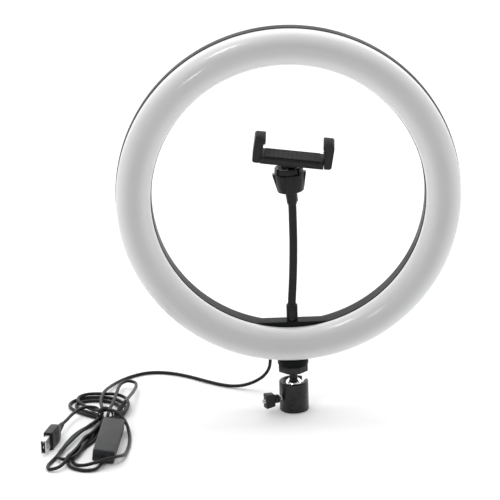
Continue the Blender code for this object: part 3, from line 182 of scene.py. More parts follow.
def lathe(name, outline, steps, closed=False):
    """One point is extruded along an outline of (radius, height), which is then spun round Z."""
    clear_selection()
    bpy.ops.mesh.primitive_plane_add(size=0.001)
    obj = label(name)
    bpy.ops.object.mode_set(mode="EDIT")
    bpy.ops.mesh.select_mode(type="VERT")
    bpy.ops.mesh.select_all(action="SELECT")
    bpy.ops.mesh.merge(type="CENTER")
    bpy.ops.transform.translate(value=(outline[0][0], 0, outline[0][1]))
    path = list(outline) + ([outline[0]] if closed else [])
    for (r, z), (far, high) in zip(path, path[1:]):
        bpy.ops.mesh.extrude_region_move(TRANSFORM_OT_translate={"value": (far - r, 0, high - z)})
    bpy.ops.mesh.select_all(action="SELECT")
    bpy.ops.mesh.spin(steps=steps, angle=math.tau, center=(0, 0, 0), axis=(0, 0, 1))
    close_mesh()
    return tidy(obj)


def bar(name, size, centre=(0, 0, 0)):
    """A squared bar, ready to be shaped."""
    clear_selection()
    bpy.ops.mesh.primitive_cube_add(size=1, location=centre)
    obj = label(name)
    obj.scale = size
    bpy.ops.object.transform_apply(location=True, rotation=True, scale=True)
    return obj


def pin(name, radius, low, high, sides=32, at=(0, 0)):
    """A round bar along Z."""
    clear_selection()
    bpy.ops.mesh.primitive_cylinder_add(
        vertices=sides, radius=radius, depth=high - low, location=(*at, (low + high) / 2)
    )
    obj = label(name)
    bpy.ops.object.transform_apply(location=True, rotation=True, scale=True)
    return obj


def slab(name, outline, low, high):
    """A flat face drawn corner by corner, then extruded upwards."""
    clear_selection()
    bpy.ops.mesh.primitive_plane_add(size=0.001)
    obj = label(name)
    bpy.ops.object.mode_set(mode="EDIT")
    bpy.ops.mesh.select_mode(type="VERT")
    bpy.ops.mesh.select_all(action="SELECT")
    bpy.ops.mesh.merge(type="CENTER")
    bpy.ops.transform.translate(value=(outline[0][0], outline[0][1], low))
    for (x, y), (u, v) in zip(outline, outline[1:]):
        bpy.ops.mesh.extrude_region_move(TRANSFORM_OT_translate={"value": (u - x, v - y, 0)})
    bpy.ops.mesh.select_all(action="SELECT")
    bpy.ops.mesh.edge_face_add()
    bpy.ops.mesh.extrude_region_move(TRANSFORM_OT_translate={"value": (0, 0, high - low)})
    close_mesh()
    return tidy(obj)


def apply(obj, kind, name, **settings):
    """Adds one modifier and applies it."""
    take(obj)
    change = obj.modifiers.new(name, kind)
    for setting, value in settings.items():
        setattr(change, setting, value)
    bpy.ops.object.modifier_apply(modifier=change.name)
    return obj


def join_or_cut(obj, tool, operation="DIFFERENCE", keep=False):
    """Cuts the tool from the piece, or fuses it on, and puts the tool away."""
    apply(obj, "BOOLEAN", operation.lower(), operation=operation, object=tool, solver="EXACT")
    if not keep:
        bpy.data.objects.remove(tool, do_unlink=True)
    return obj


def soften(obj, width, steps=3, angle=30):
    """Rounds every edge that is sharper than the angle."""
    return apply(
        obj, "BEVEL", "soft edge", width=width, segments=steps, limit_method="ANGLE",
        angle_limit=math.radians(angle), use_clamp_overlap=True,
    )


def settle(obj, place=None, angle=32):
    """Moves a finished mesh to its place, freezes it there and smooths its shading."""
    take(obj)
    if place is not None:
        obj.matrix_world = place
        bpy.ops.object.transform_apply(location=True, rotation=True, scale=True)
    bpy.ops.object.shade_smooth_by_angle(angle=math.radians(angle))
    return obj


def twin(obj, name, place):
    """A copy of a finished piece with its own mesh, moved by the matrix."""
    take(obj)
    bpy.ops.object.duplicate(linked=False)
    copy = label(name)
    copy.matrix_world = place
    bpy.ops.object.transform_apply(location=True, rotation=True, scale=True)
    return copy


def fit(obj, finish, body, *nodes):
    """Gives a piece its finish and its body, and lets it stand for the plain solids."""
    obj.data.materials.clear()
    obj.data.materials.append(finish)
    if body:
        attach(obj, body)
    if nodes:
        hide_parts(*nodes)
    return obj


def bend(centre, radius, start, end, steps):
    """Points of an arc, with its angles in degrees."""
    angles = [math.radians(start + (end - start) * k / steps) for k in range(steps + 1)]
    return [(centre[0] + radius * math.cos(a), centre[1] + radius * math.sin(a)) for a in angles]


def flowing(points, spacing):
    """Evenly spaced points on a smooth curve through the given points."""
    knots = [points[0], *points, points[-1]]
    fine = []
    for a, b, c, d in zip(knots, knots[1:], knots[2:], knots[3:]):
        for step in range(10):
            t = step / 10
            fine.append(0.5 * (2 * b + (c - a) * t + (2 * a - 5 * b + 4 * c - d) * t**2
                               + (3 * b - a - 3 * c + d) * t**3))
    fine.append(points[-1])
    placed, walked = [fine[0]], 0.0
    for p, q in zip(fine, fine[1:]):
        walked += (q - p).length
        if walked >= spacing:
            placed.append(q)
            walked = 0.0
    placed[-1] = fine[-1]
    return placed


def strand(name, points, radius, sides=4, radii=None):
    """A round curve along the points, with capped ends."""
    curve = bpy.data.curves.new(name, "CURVE")
    curve.dimensions = "3D"
    spline = curve.splines.new("POLY")
    spline.points.add(len(points) - 1)
    for k, co in enumerate(points):
        spline.points[k].co = (*co, 1)
        if radii:
            spline.points[k].radius = radii[k]
    spline.use_smooth = True
    curve.bevel_depth = radius
    curve.bevel_resolution = sides
    curve.use_fill_caps = True
    obj = bpy.data.objects.new(name, curve)
    bpy.context.scene.collection.objects.link(obj)
    return obj


def as_mesh(obj):
    """Turns a curve into a mesh whose ends are closed."""
    take(obj)
    bpy.ops.object.convert(target="MESH")
    return tidy(bpy.context.object, 1e-7)


# ---------------------------------------------------------------- finishes

def add_node(tree, kind, settings=(), **inputs):
    made = tree.nodes.new(kind)
    for setting, value in dict(settings).items():
        setattr(made, setting, value)
    for name, value in inputs.items():
        socket = made.inputs[int(name[1:])] if name[0] == "i" and name[1:].isdigit() else made.inputs[name]
        if isinstance(value, bpy.types.NodeSocket):
            tree.links.new(value, socket)
        else:
            socket.default_value = value
    return made


def new_group(name, inputs, outputs):
    group = bpy.data.node_groups.new(name, "ShaderNodeTree")
    for label_, kind, value in inputs:
        socket = group.interface.new_socket(label_, in_out="INPUT", socket_type=kind)
        if value is not None:
            socket.default_value = value
    for label_, kind in outputs:
        group.interface.new_socket(label_, in_out="OUTPUT", socket_type=kind)
    return group, group.nodes.new("NodeGroupInput").outputs, group.nodes.new("NodeGroupOutput").inputs


def moulded_grain():
    """Fine spark-eroded texture of a moulded surface, and a slow shade that drifts over it."""
    group, given, gives = new_group(
        "moulded grain",
        (("Vector", "NodeSocketVector", None), ("Grain", "NodeSocketFloat", 2500.0), ("Drift", "NodeSocketFloat", 40.0)),
        (("Height", "NodeSocketFloat"), ("Shade", "NodeSocketFloat")),
    )
    fine = add_node(group, "ShaderNodeTexNoise", Vector=given["Vector"], Scale=given["Grain"], Detail=3.0, Roughness=0.6)
    pits = add_node(group, "ShaderNodeTexVoronoi", Vector=given["Vector"], Scale=given["Grain"])
    both = add_node(group, "ShaderNodeMath", {"operation": "MULTIPLY_ADD"}, i0=pits.outputs["Distance"], i1=0.6,
                    i2=fine.outputs["Fac"])
    slow = add_node(group, "ShaderNodeTexNoise", Vector=given["Vector"], Scale=given["Drift"], Detail=4.0, Roughness=0.55)
    group.links.new(both.outputs[0], gives["Height"])
    group.links.new(slow.outputs["Fac"], gives["Shade"])
    return group


def handling_marks():
    """Hairline scuffs from handling, denser where a broad patch says so."""
    group, given, gives = new_group(
        "handling marks",
        (("Vector", "NodeSocketVector", None), ("Fineness", "NodeSocketFloat", 260.0), ("Amount", "NodeSocketFloat", 0.5)),
        (("Mask", "NodeSocketFloat"),),
    )
    masks = []
    for stretch, turn in (((1.0, 0.06, 0.4), (0.3, 0.5, 0.7)), ((0.07, 1.0, 0.5), (0.9, 0.2, 0.4))):
        lay = add_node(group, "ShaderNodeMapping", Vector=given["Vector"], Scale=stretch, Rotation=turn)
        line = add_node(group, "ShaderNodeTexNoise", Vector=lay.outputs[0], Scale=given["Fineness"], Detail=2.0)
        thin = add_node(group, "ShaderNodeMapRange", Value=line.outputs["Fac"], i1=0.66, i2=0.78)
        masks.append(thin.outputs[0])
    any_line = add_node(group, "ShaderNodeMath", {"operation": "MAXIMUM"}, i0=masks[0], i1=masks[1])
    patch = add_node(group, "ShaderNodeTexNoise", Vector=given["Vector"], Scale=35.0, Detail=2.0)
    where = add_node(group, "ShaderNodeMapRange", Value=patch.outputs["Fac"], i1=0.42, i2=0.68)
    local = add_node(group, "ShaderNodeMath", {"operation": "MULTIPLY"}, i0=any_line.outputs[0], i1=where.outputs[0])
    out = add_node(group, "ShaderNodeMath", {"operation": "MULTIPLY", "use_clamp": True}, i0=local.outputs[0],
                   i1=given["Amount"])
    group.links.new(out.outputs[0], gives["Mask"])
    return group


def settled_dust():
    """Dust on the faces that look up, broken into specks."""
    group, given, gives = new_group(
        "settled dust",
        (("Vector", "NodeSocketVector", None), ("Amount", "NodeSocketFloat", 0.3)),
        (("Mask", "NodeSocketFloat"),),
    )
    facing = group.nodes.new("ShaderNodeNewGeometry")
    split = add_node(group, "ShaderNodeSeparateXYZ", Vector=facing.outputs["Normal"])
    up = add_node(group, "ShaderNodeMapRange", Value=split.outputs["Z"], i1=0.35, i2=1.0)
    specks = add_node(group, "ShaderNodeTexNoise", Vector=given["Vector"], Scale=420.0, Detail=5.0, Roughness=0.7)
    broken = add_node(group, "ShaderNodeMapRange", Value=specks.outputs["Fac"], i1=0.38, i2=0.75)
    local = add_node(group, "ShaderNodeMath", {"operation": "MULTIPLY"}, i0=up.outputs[0], i1=broken.outputs[0])
    out = add_node(group, "ShaderNodeMath", {"operation": "MULTIPLY", "use_clamp": True}, i0=local.outputs[0],
                   i1=given["Amount"])
    group.links.new(out.outputs[0], gives["Mask"])
    return group


def edge_wear():
    """A mask on convex edges, where hands and tables polish a surface."""
    group, given, gives = new_group(
        "edge wear",
        (("Vector", "NodeSocketVector", None), ("Amount", "NodeSocketFloat", 0.5)),
        (("Mask", "NodeSocketFloat"),),
    )
    facing = group.nodes.new("ShaderNodeNewGeometry")
    sharp = add_node(group, "ShaderNodeMapRange", Value=facing.outputs["Pointiness"], i1=0.53, i2=0.60)
    rub = add_node(group, "ShaderNodeTexNoise", Vector=given["Vector"], Scale=180.0, Detail=4.0)
    broken = add_node(group, "ShaderNodeMapRange", Value=rub.outputs["Fac"], i1=0.35, i2=0.7)
    local = add_node(group, "ShaderNodeMath", {"operation": "MULTIPLY"}, i0=sharp.outputs[0], i1=broken.outputs[0])
    out = add_node(group, "ShaderNodeMath", {"operation": "MULTIPLY", "use_clamp": True}, i0=local.outputs[0],
                   i1=given["Amount"])
    group.links.new(out.outputs[0], gives["Mask"])
    return group


GRAIN, MARKS, DUST, WEAR = moulded_grain(), handling_marks(), settled_dust(), edge_wear()


def use(tree, group, place, **values):
    made = add_node(tree, "ShaderNodeGroup", {"node_tree": group}, Vector=place)
    for name, value in values.items():
        made.inputs[name].default_value = value
    return made.outputs


def start_finish(name, metallic=0.0, **fixed):
    """A new material: its tree, its shader and the piece's own coordinates."""
    material = bpy.data.materials.new(name)
    material.use_nodes = True
    tree = material.node_tree
    shader = tree.nodes["Principled BSDF"]
    shader.inputs["Metallic"].default_value = metallic
    for socket, value in fixed.items():
        shader.inputs[socket.replace("_", " ")].default_value = value
    place = tree.nodes.new("ShaderNodeTexCoord").outputs["Object"]
    return material, tree, shader, place


def blend_colours(tree, share, first, second):
    """Mixes two colours, or a colour and another node's colour, by a mask."""
    mixed = add_node(tree, "ShaderNodeMix", {"data_type": "RGBA"})
    for socket, value in ((mixed.inputs[0], share), (mixed.inputs[6], first), (mixed.inputs[7], second)):
        if isinstance(value, bpy.types.NodeSocket):
            tree.links.new(value, socket)
        else:
            socket.default_value = (*value, 1) if hasattr(value, "__len__") else value
    return mixed.outputs[2]


def remap(tree, value, low, high, start=0.3, end=0.7):
    return add_node(tree, "ShaderNodeMapRange", Value=value, i1=start, i2=end, i3=low, i4=high).outputs[0]


def raise_bump(tree, shader, height, depth, strength=1.0):
    bump = add_node(tree, "ShaderNodeBump", Strength=strength, Distance=depth, Height=height)
    tree.links.new(bump.outputs[0], shader.inputs["Normal"])


def moulded(name, dark, light, rough=(0.34, 0.46), grain=2500.0, depth=0.00002, marks=0.15, dust=0.05, wear=0.12, **fixed):
    """Moulded plastic or rubber: grain, slow shade, rubbed edges, handling marks and a little dust."""
    fixed.setdefault("Specular_IOR_Level", 0.22)
    material, tree, shader, place = start_finish(name, **fixed)
    skin = use(tree, GRAIN, place, Grain=grain)
    scuffs = use(tree, MARKS, place, Amount=marks)["Mask"]
    rubbed = use(tree, WEAR, place, Amount=wear)["Mask"]
    settled = use(tree, DUST, place, Amount=dust)["Mask"]
    colour = blend_colours(tree, remap(tree, skin["Shade"], 0, 1), dark, light)
    paler = tuple(min(1, c * 1.5 + 0.01) for c in light)
    colour = blend_colours(tree, rubbed, colour, paler)
    colour = blend_colours(tree, scuffs, colour, paler)
    colour = blend_colours(tree, settled, colour, (0.42, 0.41, 0.39))
    tree.links.new(colour, shader.inputs["Base Color"])
    rough_base = remap(tree, skin["Shade"], *rough)
    rough_scuffed = add_node(tree, "ShaderNodeMath", {"operation": "MULTIPLY_ADD"}, i0=scuffs, i1=0.2, i2=rough_base)
    rough_all = add_node(tree, "ShaderNodeMath", {"operation": "MULTIPLY_ADD", "use_clamp": True}, i0=settled, i1=0.5,
                         i2=rough_scuffed.outputs[0])
    tree.links.new(rough_all.outputs[0], shader.inputs["Roughness"])
    raise_bump(tree, shader, skin["Height"], depth)
    return material


def metal(name, dark, light, rough, lines=None, marks=0.3, wear=0.0, wear_colour=(0.55, 0.55, 0.56), **fixed):
    """Worked metal: fine tool lines round an axis, stains, handling marks and bright rubbed edges."""
    material, tree, shader, place = start_finish(name, **fixed)
    skin = use(tree, GRAIN, place, Grain=900.0, Drift=90.0)
    scuffs = use(tree, MARKS, place, Amount=marks, Fineness=420.0)["Mask"]
    rubbed = use(tree, WEAR, place, Amount=wear)["Mask"]
    colour = blend_colours(tree, remap(tree, skin["Shade"], 0, 1), dark, light)
    colour = blend_colours(tree, rubbed, colour, wear_colour)
    tree.links.new(colour, shader.inputs["Base Color"])
    rough_base = remap(tree, skin["Shade"], *rough)
    rough_all = add_node(tree, "ShaderNodeMath", {"operation": "MULTIPLY_ADD", "use_clamp": True}, i0=scuffs, i1=0.25,
                         i2=rough_base)
    tree.links.new(rough_all.outputs[0], shader.inputs["Roughness"])
    height = scuffs
    if lines:
        direction, pitch = lines
        wave = add_node(tree, "ShaderNodeTexWave", {"bands_direction": direction}, Vector=place, Scale=pitch, Distortion=1.2,
                        Detail=3.0)
        wave.inputs["Detail Scale"].default_value = 3.0
        height = wave.outputs["Fac"]
    raise_bump(tree, shader, height, 0.00001, 0.5)
    return material


def milky_cover():
    """Opal plastic: pale, glossy, very slightly cloudy, with its moulding's soft waviness, and a painted sheen that
    lightens its colour towards both edges of the band.
    """
    material, tree, shader, place = start_finish("opal cover", IOR=1.5, Coat_Weight=0.6, Sheen_Weight=0.25)
    shader.inputs["Coat Roughness"].default_value = 0.06
    skin = use(tree, GRAIN, place, Grain=1500.0, Drift=9.0)
    scuffs = use(tree, MARKS, place, Amount=0.10, Fineness=300.0)["Mask"]
    settled = use(tree, DUST, place, Amount=0.05)["Mask"]
    split = add_node(tree, "ShaderNodeSeparateXYZ", Vector=place)
    # Painted sheen: the base colour lightens from the band's middle towards both its edges, standing in for the bright
    # room reflected at grazing angles.
    high = add_node(tree, "ShaderNodeMath", {"operation": "SUBTRACT"}, i0=split.outputs["Z"], i1=0.2012)
    flat = add_node(tree, "ShaderNodeCombineXYZ", X=split.outputs["X"], Y=high.outputs[0])
    radius = add_node(tree, "ShaderNodeVectorMath", {"operation": "LENGTH"}, i0=flat.outputs[0])
    off = add_node(tree, "ShaderNodeMath", {"operation": "SUBTRACT"}, i0=radius.outputs["Value"], i1=BAND)
    off = add_node(tree, "ShaderNodeMath", {"operation": "ABSOLUTE"}, i0=off.outputs[0])
    edge = add_node(tree, "ShaderNodeMapRange", {"interpolation_type": "SMOOTHSTEP"}, Value=off.outputs[0], i1=0.001,
                    i2=0.0150, i3=0.0, i4=1.0)
    colour = blend_colours(tree, remap(tree, skin["Shade"], 0, 1), OPAL_DARK, OPAL_LIGHT)
    colour = blend_colours(tree, edge.outputs[0], colour, OPAL_PAINTED_SHEEN)
    colour = blend_colours(tree, settled, colour, (0.46, 0.45, 0.43))
    tree.links.new(colour, shader.inputs["Base Color"])
    rough = remap(tree, skin["Shade"], 0.30, 0.36)
    rough = add_node(tree, "ShaderNodeMath", {"operation": "MULTIPLY_ADD", "use_clamp": True}, i0=scuffs, i1=0.2, i2=rough)
    tree.links.new(rough.outputs[0], shader.inputs["Roughness"])
    wave = add_node(tree, "ShaderNodeTexNoise", Vector=place, Scale=60.0, Detail=1.0)
    raise_bump(tree, shader, wave.outputs["Fac"], 0.00006, 0.6)
    return material


def board_finish():
    """White solder mask with a faint fibre weave, and the pale yellow of the lamps' faces in front of it."""
    material, tree, shader, place = start_finish("board white", Roughness=0.4)
    split = add_node(tree, "ShaderNodeSeparateXYZ", Vector=place)
    lamp = add_node(tree, "ShaderNodeMath", {"operation": "LESS_THAN"}, i0=split.outputs["Y"], i1=-0.0024)
    skin = use(tree, GRAIN, place, Grain=1800.0, Drift=80.0)
    mask = blend_colours(tree, skin["Shade"], (0.62, 0.64, 0.60), (0.74, 0.75, 0.72))
    colour = blend_colours(tree, lamp.outputs[0], mask, (0.80, 0.66, 0.22))
    tree.links.new(colour, shader.inputs["Base Color"])
    raise_bump(tree, shader, skin["Height"], 0.00002)
    return material


OPAL_DARK = (0.44, 0.445, 0.44)
OPAL_LIGHT = (0.48, 0.485, 0.48)
# The next colour is a painted sheen, laid on the cover towards the edges of its band.
OPAL_PAINTED_SHEEN = (0.70, 0.705, 0.70)
BAND, HALF = 0.13435, 0.01565  # middle of the light's band, and half of its width
FINISH = {
    "opal": milky_cover(),
    "board": board_finish(),
    "housing": moulded("housing black", (0.005, 0.0055, 0.006), (0.009, 0.0095, 0.010), (0.30, 0.40), 2200.0, 0.00001,
                       marks=0.12, dust=0.0, wear=0.04, Specular_IOR_Level=0.05),
    "satin": moulded("satin black plastic", (0.004, 0.004, 0.0045), (0.008, 0.0085, 0.009), (0.30, 0.42), 2600.0, 0.00002),
    "case": moulded("case black plastic", (0.024, 0.025, 0.027), (0.034, 0.035, 0.037), (0.42, 0.52), 2400.0, 0.00003,
                    marks=0.12, dust=0.04, wear=0.12),
    "grip": moulded("knob plastic", (0.014, 0.0135, 0.012), (0.022, 0.021, 0.019), (0.38, 0.5), 1900.0, 0.00003, wear=0.2),
    "rubber": moulded("soft rubber", (0.008, 0.008, 0.0085), (0.013, 0.013, 0.0135), (0.62, 0.76), 3200.0, 0.00003,
                      marks=0.10, dust=0.08, wear=0.0),
    "pad": moulded("clip pad foam", (0.036, 0.0365, 0.038), (0.048, 0.0485, 0.05), (0.75, 0.88), 1500.0, 0.0001,
                   marks=0.0, dust=0.08, wear=0.0),
    "hose": moulded("hose sleeve", (0.004, 0.004, 0.0045), (0.008, 0.0085, 0.009), (0.34, 0.44), 3000.0, 0.00002, wear=0.0),
    "jacket": moulded("cord jacket", (0.006, 0.006, 0.0065), (0.012, 0.0125, 0.013), (0.34, 0.46), 3600.0, 0.00002,
                      marks=0.1, dust=0.05, wear=0.0),
    "tie": moulded("tie wrap", (0.005, 0.005, 0.0055), (0.010, 0.010, 0.011), (0.55, 0.7), 1700.0, 0.00004, wear=0.1),
    "mask": moulded("green solder mask", (0.012, 0.06, 0.03), (0.02, 0.09, 0.045), (0.3, 0.4), 1800.0, 0.00002, wear=0.0),
    "nylon": moulded("white nylon", (0.50, 0.50, 0.46), (0.62, 0.62, 0.58), (0.45, 0.6), 1500.0, 0.00003, wear=0.0),
    "anodised": metal("black anodised", (0.006, 0.006, 0.0065), (0.011, 0.011, 0.012), (0.24, 0.34), ("Z", 900.0), 0.15,
                      wear=0.06, metallic=0.0, Specular_IOR_Level=0.3),
    "chrome": metal("chrome", (0.80, 0.81, 0.82), (0.90, 0.90, 0.91), (0.03, 0.07), None, 0.12, metallic=1.0),
    "steel": metal("plated steel", (0.42, 0.42, 0.43), (0.56, 0.56, 0.57), (0.22, 0.34), ("Z", 1400.0), 0.3, metallic=1.0),
    "brass": metal("brass insert", (0.58, 0.40, 0.15), (0.74, 0.54, 0.24), (0.24, 0.36), ("Z", 1400.0), 0.2, metallic=1.0),
    "nickel": metal("nickel shell", (0.74, 0.74, 0.73), (0.84, 0.84, 0.83), (0.34, 0.44), ("X", 1100.0), 0.35, metallic=1.0),
}


# ---------------------------------------------------------------- ring

REVEAL = 0.0006  # how far the cover stands inside the housing's rims


def dome(inset, steps):
    width, rise = HALF - inset, 0.009 - (inset if inset > REVEAL else 0)
    return [
        (BAND + width * math.cos(math.pi * k / steps), 0.013 + rise * math.sin(math.pi * k / steps))
        for k in range(steps + 1)
    ]


def make_cover():
    """The opal cover: a half-elliptic shell, 2 mm thick, that drops over the housing's rims."""
    front = [(BAND + HALF - REVEAL, 0.0057), *dome(REVEAL, 36), (BAND - HALF + REVEAL, 0.0115)]
    inside = [(BAND - HALF + 0.002, 0.0115), *reversed(dome(0.002, 18)), (BAND + HALF - 0.002, 0.0057)]
    cover = lathe("opal_cover", front + inside, 180, closed=True)
    settle(cover, RING, 40)
    fit(cover, FINISH["opal"], "ring", "front_diffuser")


def make_housing():
    """The channel behind the cover, with the gooseneck's bridge inside and the foot below."""
    outer = bend((0.142, -0.0038), 0.008, 0, -90, 12)
    inner = bend((0.1267, -0.0038), 0.008, -90, -180, 12)
    back_groove = [(0.1372, -0.0118), (0.1369, -0.0114), (0.1363, -0.0114), (0.1360, -0.0118)]
    inside = [
        (0.1209, 0.0112), (0.1209, -0.0003), (0.1229, -0.0003), (0.1229, -0.0070), (0.1258, -0.0096),
        (0.1429, -0.0096), (0.1458, -0.0070), (0.1458, -0.0003), (0.1478, -0.0003), (0.1478, 0.0054),
    ]
    rim = [(0.1497, 0.0054), (0.15, 0.0051)]
    lip = [(0.1187, 0.0109), (0.1190, 0.0112)]
    housing = lathe("ring_housing", rim + outer + back_groove + inner + lip + inside, 180, closed=True)

    bridge = pin("bridge_block", 0.1198, -0.0024, 0.011, 180)
    open_mesh(bridge)
    bpy.ops.mesh.select_all(action="SELECT")
    bpy.ops.mesh.bisect(plane_co=(0, -0.1146, 0), plane_no=(0, 1, 0), use_fill=True, clear_outer=True)
    choose("EDGE", lambda e: abs(middle(e).y + 0.1146) < 1e-5)
    bpy.ops.mesh.bevel(offset=0.0005, segments=3, affect="EDGES")
    close_mesh()
    join_or_cut(housing, bridge, "UNION")

    settle(housing, RING)
    foot = lathe("foot_disc", [
        (0, 0.0439), (0.0132, 0.0439), (0.0136, 0.04405), (0.01375, 0.0444), (0.01375, 0.0504), (0.0136, 0.05075),
        (0.0132, 0.0509), (0, 0.0509),
    ], 72)
    neck = bar("foot_neck", (0.02, 0.0106, 0.0029), (0, 0.0005, 0.05115))
    join_or_cut(housing, neck, "UNION")
    join_or_cut(housing, foot, "UNION")
    join_or_cut(housing, pin("foot_bore", 0.005, 0.0419, 0.0504, 40))
    join_or_cut(housing, pin("neck_bore", 0.0044, 0.0666, 0.0886, 40, (0.0003, -0.0045)))
    gland_hole = pin("gland_hole", 0.0023, -0.014, -0.006, 24, (-0.019, 0.066 - 0.2012))
    settle(gland_hole, RING)
    join_or_cut(housing, gland_hole)
    for bearing in (45, 135, 225, 315):
        at = (BAND * math.cos(math.radians(bearing)), BAND * math.sin(math.radians(bearing)))
        hole = pin("screw_hole", 0.0015, -0.014, -0.006, 20, at)
        settle(hole, RING)
        join_or_cut(housing, hole)
    settle(tidy(housing), None, 34)
    fit(housing, FINISH["housing"], "ring", "rear_housing")


def make_housing_screws():
    """Pan-head screws with a cross recess, modelled once and copied round the back."""
    screw = lathe("housing_screw_a", [
        (0, -0.006), (0.0009, -0.006), (0.0012, -0.0055), (0.0012, 0), (0.0024, 0), (0.0026, 0.0002), (0.0026, 0.0006),
        (0.0023, 0.00105), (0.0017, 0.0014), (0.0010, 0.0015), (0, 0.0015),
    ], 40)
    for turn in (0, 90):
        arm = bar("recess", (0.0026, 0.0006, 0.0014), (0, 0, 0.0013))
        arm.rotation_euler.z = math.radians(turn)
        take(arm)
        bpy.ops.object.transform_apply(location=True, rotation=True, scale=True)
        join_or_cut(screw, arm)
    tidy(screw)
    take(screw)
    bpy.ops.object.shade_smooth_by_angle(angle=math.radians(30))
    for number, bearing in enumerate((45, 135, 225, 315), 1):
        a = math.radians(bearing)
        at = Matrix.Translation((BAND * math.cos(a), 0.0121, 0.2012 + BAND * math.sin(a)))
        copy = twin(screw, f"back_screw_{number}", at @ Matrix.Rotation(-math.pi / 2, 4, "X") @ Matrix.Rotation(a, 4, "Z"))
        fit(copy, FINISH["steel"], "ring", f"housing_screw_{number}")
    bpy.data.objects.remove(screw, do_unlink=True)


def make_gland():
    """The lead's rubber boot: a flange, then a taper with flex grooves."""
    outline = [(0, -0.003), (0.002, -0.003), (0.002, 0), (0.0037, 0), (0.0038, 0.0002), (0.0038, 0.0012), (0.0036, 0.0014)]
    outline.append((0.0031, 0.0016))
    for k in range(5):
        low = 0.0026 + 0.0022 * k
        r = 0.0030 - 0.00075 * (low / 0.015)
        outline += [(r, low), (r - 0.0004, low + 0.0002), (r - 0.0004, low + 0.0008), (r - 0.00005, low + 0.0010)]
    outline += [(0.0021, 0.0146), (0.0019, 0.015), (0, 0.015)]
    boot = lathe("lead_boot", outline, 40)
    place = Matrix.Translation((-0.019, 0.0121, 0.066)) @ Matrix.Rotation(-math.pi / 2, 4, "X")
    settle(boot, place)
    fit(boot, FINISH["rubber"], "ring", "cable_gland")


# ---------------------------------------------------------------- ball head

def make_cup():
    """The head's body: a turned cup with a drop slot and the knob's threaded hole."""
    seat = bend((0, 0.021), 0.0093, 26.9, 0, 10)
    cup = lathe("head_cup", [
        (0, 0.0065), (0.005, 0.0065), (0.005, 0), (0.0122, 0), (0.0127, 0.0002), (0.0130, 0.0007), (0.0130, 0.0262),
        (0.01285, 0.0268), (0.0124, 0.0272), (0.0119, 0.0273), (0.0105, 0.0273), (0.0102, 0.0271), *seat,
        (0.0093, 0.0085), (0, 0.0085),
    ], 96)
    slot = slab("drop_slot", bend((0, 0.021), 0.00415, -180, 0, 20) + [(0.00415, 0.04), (-0.00415, 0.04)], 0.004, 0.017)
    settle(slot, Matrix.Rotation(math.radians(34 + 90), 4, "Z") @ Matrix.Rotation(math.pi / 2, 4, "X"))
    join_or_cut(cup, slot)
    hole = pin("knob_hole", 0.0023, 0.006, 0.017, 32)
    along_knob = Matrix.Rotation(math.radians(206), 4, "Z") @ Matrix.Rotation(math.pi / 2, 4, "Y")
    settle(hole, Matrix.Translation((0, 0, 0.013)) @ along_knob)
    join_or_cut(cup, hole)
    soften(tidy(cup), 0.00025, 2, 50)
    settle(cup)
    fit(cup, FINISH["anodised"], "base", "ball_cup")


def make_ball():
    """The chromed ball."""
    ball = lathe("head_ball", bend((0, 0.021), 0.009, -90, 90, 40), 72)
    settle(ball, None, 60)
    fit(ball, FINISH["chrome"], "ball", "clamp_ball")


def make_stem():
    foot = bend((0, 0.021), 0.0093, 90, 66.2, 6)
    foot[0] = (0, 0.0303)
    stem = lathe("head_stem", [
        *foot, (0.00375, 0.0300), (0.00375, 0.0336), (0.0041, 0.0342), (0.0060, 0.0357), (0.0063, 0.0361), (0.00635, 0.0371),
        (0.0061, 0.0374), (0.0034, 0.0374), (0.0034, 0.0319), (0, 0.0319),
    ], 56)
    settle(stem, None, 30)
    fit(stem, FINISH["anodised"], "stem", "ball_stem")


def make_lock_disc():
    """Eight-sided locking disc, chamfered, with a threaded hole."""
    clear_selection()
    bpy.ops.mesh.primitive_cylinder_add(vertices=8, radius=0.014, depth=0.0059, location=(0, 0, 0.04065))
    disc = label("eight_sided_disc")
    bpy.ops.object.transform_apply(location=True, rotation=True, scale=True)
    disc.rotation_euler.z = math.radians(22.5)
    bpy.ops.object.transform_apply(location=False, rotation=True, scale=False)
    open_mesh(disc)
    choose("EDGE", lambda e: abs(e.verts[0].co.z - e.verts[1].co.z) > 0.003)
    bpy.ops.mesh.bevel(offset=0.0009, segments=4, affect="EDGES")
    choose("FACE", lambda f: abs(f.normal.z) > 0.9)
    bpy.ops.mesh.inset(thickness=0.0009)
    choose("FACE", lambda f: abs(f.normal.z) > 0.9 and f.calc_area() > 0.0003)
    bpy.ops.mesh.inset(thickness=0.0012, depth=-0.0003)
    close_mesh()
    join_or_cut(disc, pin("disc_bore", 0.0034, 0.036, 0.046, 40))
    soften(tidy(disc), 0.0003, 3, 40)
    settle(disc)
    fit(disc, FINISH["anodised"], "disc", "lock_disc")


